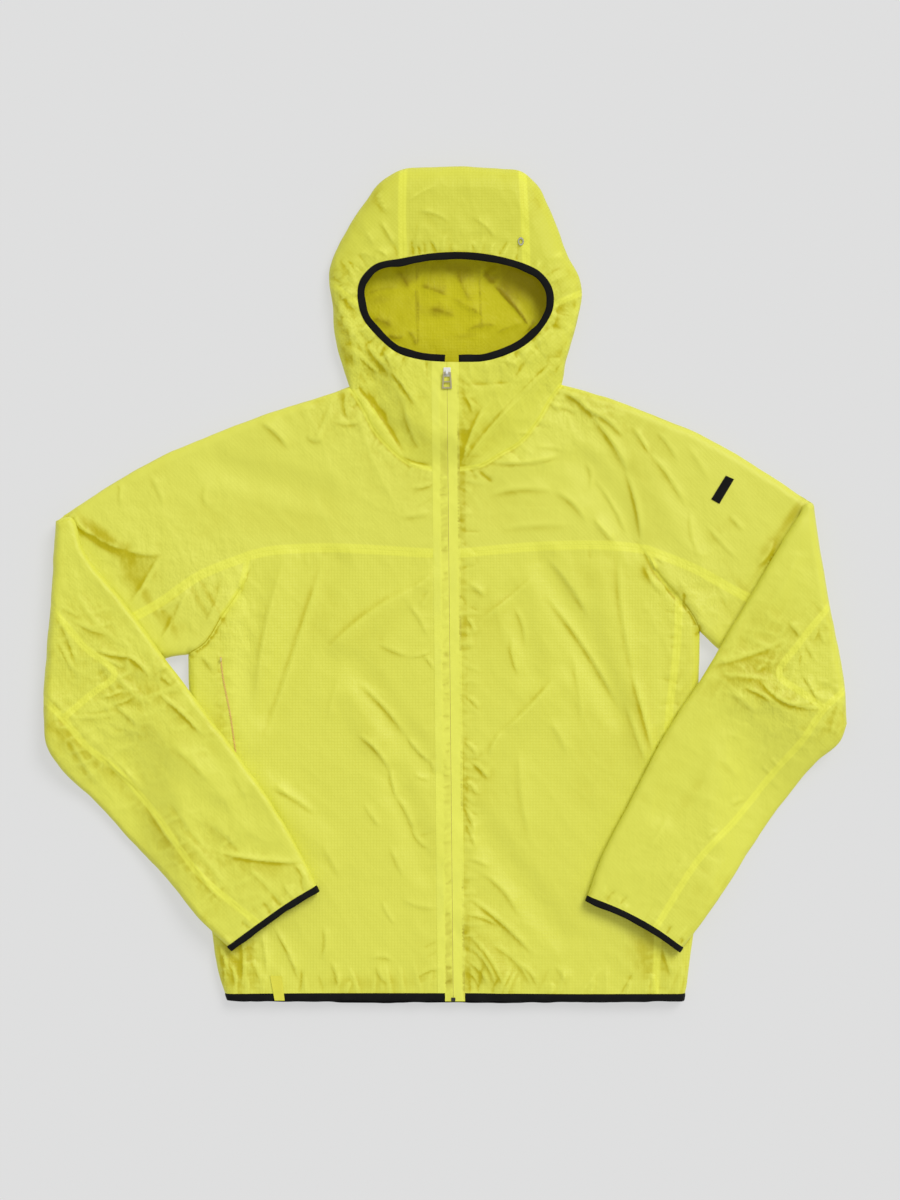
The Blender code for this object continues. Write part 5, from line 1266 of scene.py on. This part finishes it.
looks = {key: ripstop(key + "Ripstop", colours[key], *weight) for key, weight in (
    ("front", (0.5, 0.3)), ("yoke", (0.34, 0.3)), ("sleeve", (0.3, 0.3)), ("hood", (0.42, 0.16)),
    ("chin", (0.42, 0.2)))}  # how strongly the grid shows, and the shine
looks["tape"] = wovenTape("zipTapeWeave", colours["tape"], colours["glow"])
looks["hemLabel"] = wovenTape("hemLabelWeave", (0.76, 0.72, 0.05), colours["tape"])
looks["binding"] = elastic("blackElastic", (0.0045, 0.0045, 0.004), (0.013, 0.013, 0.012))
looks["label"] = elastic("wovenLabel", (0.005, 0.005, 0.0045), (0.012, 0.012, 0.011))
looks["pull"] = metalLook("warmMetal", (0.74, 0.66, 0.40), 0.26)
looks["metal"] = metalLook("satinMetal", (0.60, 0.60, 0.57), 0.28)
looks["enamel"] = plasticLook("whiteEnamel", (0.80, 0.80, 0.78), 0.3)
looks["coil"] = plasticLook("zipCoil", colours["coil"], 0.42)
looks["pocketCoil"] = plasticLook("pocketZipCoil", colours["pocketCoil"], 0.42)
looks["bead"] = plasticLook("palePlastic", colours["bead"], 0.35)
looks["dark"] = plasticLook("blackPlastic", (0.016, 0.016, 0.017), 0.45)
print("materials made")


def seam(line): return (line, "seam")
def roll(line): return (line, "roll")
def wrap(line): return (line, "wrap")


print("cutting the body")
top, hidden = mesh["top"], mesh["hidden"]
tapeOuter = {"right": zipLine["rightOuter"], "left": zipLine["leftOuter"]}
hemEnds = {"right": (0, 1), "left": (4, 3)}  # each side panel's stretch of the back hem
grain = {"right": 45, "left": -45}  # how the yokes and sleeve tops lie on the bias, in degrees
# The yoke runs on under the folded sleeve, just inside the elbow fold.
throat = {"right": [(-412, 82), (-420, 76.5), (-425.5, 70), (-427, 58), (-429, 20), (-432, -69)],
          "left": [(387, 100), (394.5, 95.2), (400.5, 89), (404, 70), (410, 20), (419, -47)]}
for s in ("right", "left"):
    line = lambda key, first=0, last=-1, s=s: side(s, key, first, last)
    cloth(s + "Front", s + "_front", [("front", [
        seam(line("yoke")), seam(line("armhole", 0, 2)), seam(line("frontSide")), seam(line("hem", 2, 0)),
        seam(zipEdge(tapeOuter[s], zipLine["hem"], zipLine["yoke"]))], top)], looks["front"], "front_cloth")
    cloth(s + "SidePanel", s + "_side_panel", [
        ("front", [seam(line("frontSide")), seam(line("hem", 2, 3)), wrap(line("side", 6, 0)),
                   seam(line("armhole", 4, 2))], top),
        ("back", [wrap(line("side")), seam(linePoints(backHem, *hemEnds[s])),
                  seam(line("backSide", 4, 0))], hidden)], looks["front"], "front_cloth")
    cloth(s + "Yoke", s + "_yoke", [("front", [
        seam(line("neck")), roll(line("shoulder", 0, 6)), seam(linePoints(throat[s], straight=True)),
        seam(line("yokeArm", 4, 0)), seam(line("yoke", 3, 0)),
        seam(zipEdge(tapeOuter[s], zipLine["yoke"], zipLine["neck"]))], top)],
        looks["yoke"], "yoke_cloth", weave=grain[s])
    cloth(s + "Underarm", s + "_underarm", [
        ("front", [seam(line("armhole")), wrap(line("armUnder", 4, 1)), seam(line("tuck", 4, 2)),
                   seam(line("yokeArm", 4, 0))], top),
        ("back", [wrap(line("armUnder", 4, 1)), roll(line("armUnder", 1, 0)), roll(line("fold", 5, 3)),
                  seam(line("armBack")), seam(line("raglan", 3, 4))], hidden)],
        looks["yoke"], "yoke_cloth", weave=grain[s])
cloth("backPanel", "back_panel", [("back", [
    seam(linePoints(nape)), seam(side("left", "raglan")), seam(side("left", "backSide")),
    seam(linePoints(backHem, 3, 1)), seam(side("right", "backSide", 4, 0)),
    seam(side("right", "raglan", 4, 0))], hidden)],
    looks["front"], "front_cloth")

print("cutting the sleeves")
for s in ("right", "left"):
    line = lambda key, first=0, last=-1, s=s: side(s, key, first, last)
    tip, foot = len(sideLines[s]["patch"]) - 1, len(sideLines[s]["outer"]) - 1
    over, under = s + "Over", s + "Under"
    cloth(s + "SleeveBack", s + "_sleeve_back", [
        (over, [roll(line("inner")), seam(line("cuff", 3, 1)), seam(line("long", 6, 1)),
                seam(line("patch", tip, 0)), wrap(line("fold", 2, 1)), roll(line("fold", 1, 0))], top),
        ("back", [roll(line("shoulder")), roll(line("fold", 0, 1)), wrap(line("fold", 1, 2)),
                  roll(line("fold", 2, 3)), seam(line("armBack")), seam(line("raglan", 3, 0))], hidden)],
        looks["sleeve"], "sleeve_cloth", weave=grain[s])
    cloth(s + "ElbowPatch", s + "_elbow_patch", [(over, [
        seam(line("patch")), seam(line("long", 1, 0)), roll(line("fold", 4, 2))], top)],
        looks["sleeve"], "sleeve_cloth", weave=0)
    cloth(s + "Undersleeve", s + "_undersleeve", [
        (over, [seam(line("long")), seam(line("cuff", 1, 0)), wrap(line("outer", foot, 1)),
                roll(line("outer", 1, 0)), roll(line("fold", 5, 4))], top),
        (under, [wrap(line("outer", 1, foot)), seam(line("cuff", 0, 1)),
                 seam(line("armFront", 4, 0))], hidden)],
        looks["sleeve"], "sleeve_cloth", weave=-grain[s])
    outer, tuck, inner = (sideLines[s][key] for key in ("outer", "tuck", "inner"))
    cloth(s + "ForearmFront", s + "_forearm_front", [(under, [
        roll(line("inner", 2)), seam(line("cuff", 3, 1)), seam(line("armFront", 4, 0)),
        seam(linePoints([outer[1], tuck[3]], straight=True)), seam(line("tuck", 3, 1)),
        seam(linePoints([tuck[1], inner[2]], straight=True))], hidden)],
        looks["sleeve"], "sleeve_cloth")

print("cutting the hood")
cloth("hoodCentre", "hood_centre", [
    ("front", [wrap(linePoints(hoodOutline, 10, 14)), seam(side("right", "crown")),
               seam(linePoints(faceOpening, 8, 12)), seam(side("left", "crown", 2, 0))], top),
    ("back", [wrap(linePoints(hoodOutline, 10, 14)), seam(side("right", "crownBack")),
              seam(linePoints(nape, 1, 2)), seam(side("left", "crownBack", 4, 0))], top)],
    looks["hood"], "hood_cloth")
# Crown, ear and neck along the outline; crown, ear and tape along the opening; the nape's two ends.
hoodPlaces = {"right": ((14, 20, 24), (8, 5, 0), (0, 1)), "left": ((10, 4, 0), (12, 15, 20), (3, 2))}
for s, ((crown, ear, neck), (openCrown, openEar, openTape), napeEnds) in hoodPlaces.items():
    cloth(s + "HoodSide", s + "_hood_side", [
        ("front", [seam(side(s, "crown")), seam(linePoints(faceOpening, openCrown, openEar)),
                   seam(side(s, "ear", 1, 0)), wrap(linePoints(hoodOutline, ear, crown))], top),
        ("back", [wrap(linePoints(hoodOutline, crown, ear)), roll(linePoints(hoodOutline, ear, neck)),
                  seam(linePoints(nape, *napeEnds)), seam(side(s, "crownBack", 4, 0))], top)],
        looks["hood"], "hood_cloth", weave=grain[s])
    cloth(s + "HoodChin", s + "_hood_chin", [("front", [
        seam(side(s, "ear")), seam(linePoints(faceOpening, openEar, openTape)),
        seam(zipEdge(tapeOuter[s], faceOpening[openTape][1], zipLine["neck"])), seam(side(s, "neck")),
        roll(linePoints(hoodOutline, neck, ear))], top)],
        looks["chin"], "hood_cloth", weave=grain[s])

print("sewing on the bindings")
band = {"width": 8.5, "cuff": 0.85, "hood": 0.95,
        "waver": 0.9, "waverSize": 16, "pucker": 0.5, "puckerSize": 7,
        "section": [(0.1, -0.1), (0.5, 0.35), (2.4, 0.6), (6.2, 0.6), (8.0, 0.35), (8.5, -0.4),
                    (8.4, -1.6), (7.6, -2.3), (4.0, -2.5), (0.5, -2.3), (0.1, -1.2)]}


def binding(name, node, stations, closed, seed, width=1.0):
    # an elastic band swept along an edge; a station is a point, its normal and the way it is wide
    at, up, across = (np.array(v, float) for v in zip(*stations))
    along = np.concatenate([[0], np.cumsum(np.linalg.norm(np.diff(at, axis=0), axis=1))])
    where = np.column_stack([along, np.zeros(len(along))])
    out = 1 + band["waver"] / band["width"] * softNoise(where, band["waverSize"], seed)
    lift = band["pucker"] * softNoise(where, band["puckerSize"], seed + 1)
    size, rows = len(band["section"]), []
    for k, (reach, height) in enumerate(band["section"]):
        share = reach / band["width"]
        wide = reach * width * (1 + share * (out - 1))
        high = height + lift * share * (height > -1)  # only the face puckers
        rows.append(at + across * wide[:, None] + up * high[:, None])
    p = np.stack(rows, 1)
    p[:, :, 2] = np.maximum(p[:, :, 2], shape["table"] + 0.01)
    count = len(at)
    ids = np.arange(count * size).reshape(count, size)
    nextRing = np.roll(ids, -1, axis=0) if closed else ids[1:]
    rings = ids if closed else ids[:-1]
    faces = []
    for j in range(size):
        k = (j + 1) % size
        faces += np.stack([rings[:, j], rings[:, k], nextRing[:, k], nextRing[:, j]], 1).tolist()
    if not closed:
        faces += [ids[0].tolist()[::-1], ids[-1].tolist()]
    around = np.tile([r for r, _ in band["section"]], (count, 1))
    grid = np.stack([np.repeat(along[:, None], size, 1), around, np.zeros((count, size))], 2)
    obj = addMesh(name, p.reshape(-1, 3), faces, {"weave": grid.reshape(-1, 3)}, outward=True)
    return put(obj, looks["binding"], "binding", node)


def stationsOn(sheet, line, across, rims=()):
    # stations along a line in a sheet; rims are the places in it that lie on a rolled edge
    line = np.array(line, float)
    atRim = np.zeros(len(line), bool)
    atRim[list(rims)] = True
    z, normal, _, _ = sheets[sheet].place(line, atRim)
    across = np.broadcast_to(np.array(across, float), (len(line), 3))
    across = across - normal * (across * normal).sum(1)[:, None]
    across = across / np.linalg.norm(across, axis=1)[:, None]
    return list(zip(np.column_stack([line, z]), normal, across))


for s in ("right", "left"):
    cuff = np.array(sideLines[s]["cuff"], float)
    chord = (cuff[-1] - cuff[0]) / np.linalg.norm(cuff[-1] - cuff[0])
    across = (chord[1], -chord[0], 0) if s == "right" else (-chord[1], chord[0], 0)
    line = side(s, "cuff")
    stations = stationsOn(s + "Over", line, across, (0, -1))
    stations += stationsOn(s + "Under", line[-2:0:-1], across)
    binding(s + "CuffBinding", s + "_cuff_binding", stations, True, 51 if s == "right" else 53, band["cuff"])
tapeIn = -1.3  # the bindings run this far onto the right zip tape
faceLine = np.vstack([[(tapeIn, zipLine["head"])], linePoints(faceOpening, 0, 20)])
turn = np.gradient(faceLine, axis=0)
turn /= np.linalg.norm(turn, axis=1)[:, None]
outward = np.column_stack([turn[:, 1], -turn[:, 0], turn[:, 0] * 0])
binding("hoodBinding", "hood_binding", stationsOn("front", faceLine, outward), False, 55, band["hood"])
down = (0, -1, 0)
hemRight = np.vstack([[(tapeIn, zipLine["hem"])], side("right", "hem")])
tapeEdge = zipX(zipLine["hem"]) + zipLine["leftOuter"] + 0.36
hemLeft = np.vstack([side("left", "hem", 3, 0), [(tapeEdge, zipLine["hem"])]])
stations = stationsOn("front", hemRight, down, (-1,)) + stationsOn("back", linePoints(backHem)[1:-1], down)
binding("hemBinding", "hem_binding", stations + stationsOn("front", hemLeft, down, (0,)), False, 57)

print("setting the zip")
slit = zipLine["slit"] / 2
foot, head, hem = zipLine["foot"][1], zipLine["head"], zipLine["hem"]
stepIn = -0.94  # the right tape narrows to this line below the hem, beside the binding
tapeLift = {"right": 0.35, "left": 0.2}
cloth("rightZipTape", "right_zip_tape", [("front", [
    seam(zipEdge(zipLine["rightOuter"], faceOpening[0][1], zipLine["yoke"], hem)),
    seam(linePoints([(zipX(hem) + zipLine["rightOuter"], hem), (stepIn, hem), (stepIn, foot),
                     (zipX(foot) - slit, foot)], straight=True)),
    seam(zipEdge(-slit, foot, head)),
    seam(linePoints([(zipX(head) - slit, head), faceOpening[0]], straight=True))], mesh["tape"])],
    looks["tape"], "zip_tape", lift=tapeLift["right"], seams=False)
cloth("leftZipTape", "left_zip_tape", [("front", [
    seam(zipEdge(zipLine["leftOuter"], head, zipLine["yoke"], foot)),
    seam(linePoints([(zipX(foot) + zipLine["leftOuter"], foot), (zipX(foot) + slit, foot)], straight=True)),
    seam(zipEdge(slit, foot, head)),
    seam(linePoints([(zipX(head) + slit, head), faceOpening[20]], straight=True))], mesh["tape"])],
    looks["tape"], "zip_tape", lift=tapeLift["left"], seams=False)

coil = {"pitch": 1.3, "long": 3.2, "wide": 0.95, "high": 0.7, "depth": -0.45}
pocketCoil = {"pitch": 1.4, "long": 1.5, "wide": 0.9, "high": 0.7, "depth": 0.5,
              "beside": 3.1, "ends": (-50, -192)}
tooth = {"lean": 0.22,
         "section": ((0.5, 0), (0.3, 0.45), (-0.3, 0.45), (-0.5, 0), (-0.3, -0.45), (0.3, -0.45)),
         "rings": ((-0.5, 0.55), (-0.32, 1.0), (0.32, 1.0), (0.5, 0.55))}  # each ring's place and size


def teeth(name, node, line, size, look):
    # rounded teeth side by side along a line in the front sheet, leaning to each side in turn
    track = Track(line)
    at = np.arange(size["pitch"], track.along[-1], size["pitch"])
    place = np.column_stack([np.interp(at, track.along, track.p[:, k]) for k in (0, 1)])
    z, normal, _, _ = sheets["front"].place(place, np.zeros(len(place), bool))
    z = z + detailHeight("front", place)
    n = track.normals[np.minimum(np.searchsorted(track.along, at), len(track.p) - 1)]
    points, faces = [], []
    for i, (p, height) in enumerate(zip(place, z)):
        start, lean = len(points), tooth["lean"] * size["long"] * (1 if i % 2 else -1)
        a = np.array((*n[i], 0.0))
        b = np.array((n[i][1], -n[i][0], 0.0))
        centre = np.array((*p, height + size["depth"])) + a * lean
        for share, grow in tooth["rings"]:
            for c, k in tooth["section"]:
                offset = a * share * size["long"] + b * c * size["wide"] * grow
                points.append(centre + offset + (0, 0, k * size["high"] * grow))
        for first in (start, start + 6, start + 12):
            for j, k in zip(range(6), (1, 2, 3, 4, 5, 0)):
                faces.append([first + j, first + k, first + 6 + k, first + 6 + j])
        faces += [[start + j for j in range(5, -1, -1)], [start + 18 + j for j in range(6)]]
    return put(addMesh(name, points, faces, outward=True), look, "zip_coil", node)


teeth("zipCoil", "zip_chain", zipEdge(0, 236, foot + 6), coil, looks["coil"])
seamLine = side("right", "frontSide", 1, 3)
high, low = pocketCoil["ends"]
pocketLine = seamLine[(seamLine[:, 1] < high) & (seamLine[:, 1] > low)] + (pocketCoil["beside"], 0)
teeth("pocketCoil", "pocket_zip", pocketLine, pocketCoil, looks["pocketCoil"])

print("labels and hard pieces")
labels = [  # piece, node, corners, how far it stands off, look, slot and what it lies on
    ("sleeveLabel", "sleeve_label", [(307, 120), (316, 116), (300, 89), (291, 94)], 0.9,
     "label", "dark_plastic", "leftYoke"),
    ("hemLabel", "hem_label", [(-193, -429), (-180, -429), (-177, -456), (-188, -456)], 1.1,
     "hemLabel", "yoke_cloth", "rightFront"),
]
for name, node, corners, lift, look, slot, below in labels:
    outline = [seam(linePoints(corners + corners[:1], straight=True))]
    cloth(name, node, [("front", outline, mesh["label"])], looks[look], slot, lift=lift, thin=0.5,
          seams=False)
hardPieces = {"zip_slider": "enamel", "zip_pull": "pull", "zip_box": "dark", "hood_eyelet": "metal"}
for node, look in hardPieces.items():
    nodes[node].data.materials.clear()
    nodes[node].data.materials.append(looks[look])

runner = {"size": (2.1, 4.2, 1.3), "taper": 0.62, "soft": 0.45}  # the pocket zip's small slider
made = bmesh.new()
bmesh.ops.create_cube(made, size=1.0)
bmesh.ops.scale(made, vec=runner["size"], verts=made.verts)
bmesh.ops.scale(made, vec=(runner["taper"], 1, 1), verts=[v for v in made.verts if v.co.y < 0])
bmesh.ops.bevel(made, geom=made.edges[:], offset=runner["soft"], segments=3, affect="EDGES", profile=0.5)
centre = sum(np.array(v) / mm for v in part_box("pocket_slider")) / 2
points = [tuple(centre + np.array(v.co)) for v in made.verts]
faces = [[v.index for v in f.verts] for f in made.faces]
made.free()
put(addMesh("pocketRunner", points, faces), looks["bead"], "slider_metal", "pocket_slider")

print("setting the table and lights")
studio = {"floor": 0.20, "glow": 0.54, "world": 0.545,
          "sun": 1.88, "sunSoft": 28, "sunHigh": 48, "sunFrom": 52,
          "camera": (4.4, -16.5, 4008.5), "lens": 109.1}
bpy.ops.mesh.primitive_grid_add(x_subdivisions=8, y_subdivisions=8, size=14)
floor = bpy.context.object
floor.name = "floor"
floorShade = Shader("paleTable")
grey = studio["floor"]
speck = floorShade.noise(floorShade.position(), 260, 3)
floor.data.materials.append(floorShade.set(
    Base_Color=floorShade.mix(speck, (grey * 0.985,) * 3, (grey, grey, grey * 1.004)),
    Roughness=speck * 0.1 + 0.75, Specular_IOR_Level=0.1,
    Emission_Color=(studio["glow"],) * 3, Emission_Strength=1.0))
world = bpy.data.worlds.new("softRoom")
world.use_nodes = True
background = world.node_tree.nodes["Background"].inputs
background["Color"].default_value = (0.97, 0.985, 1.0, 1)
background["Strength"].default_value = studio["world"]
scene.world = world
sun = bpy.data.lights.new("softWindow", "SUN")
sun.energy, sun.angle, sun.color = studio["sun"], math.radians(studio["sunSoft"]), (1.0, 0.995, 0.98)
sunObject = bpy.data.objects.new("softWindow", sun)
scene.collection.objects.link(sunObject)
high, turn = math.radians(studio["sunHigh"]), math.radians(studio["sunFrom"])
sunObject.rotation_euler = Vector((math.cos(turn) * math.cos(high), math.sin(turn) * math.cos(high),
                                   math.sin(high))).to_track_quat("Z", "Y").to_euler()
camera = bpy.data.cameras.new("overTheTable")
camera.lens, camera.sensor_width, camera.clip_end = studio["lens"], 36, 60
cameraObject = bpy.data.objects.new("overTheTable", camera)
cameraObject.location = [v * mm for v in studio["camera"]]
scene.collection.objects.link(cameraObject)
scene.camera = cameraObject
scene.view_settings.view_transform = "Standard"

print("triangles", sum(len(p.vertices) - 2 for o in pieces.values() for p in o.data.polygons))
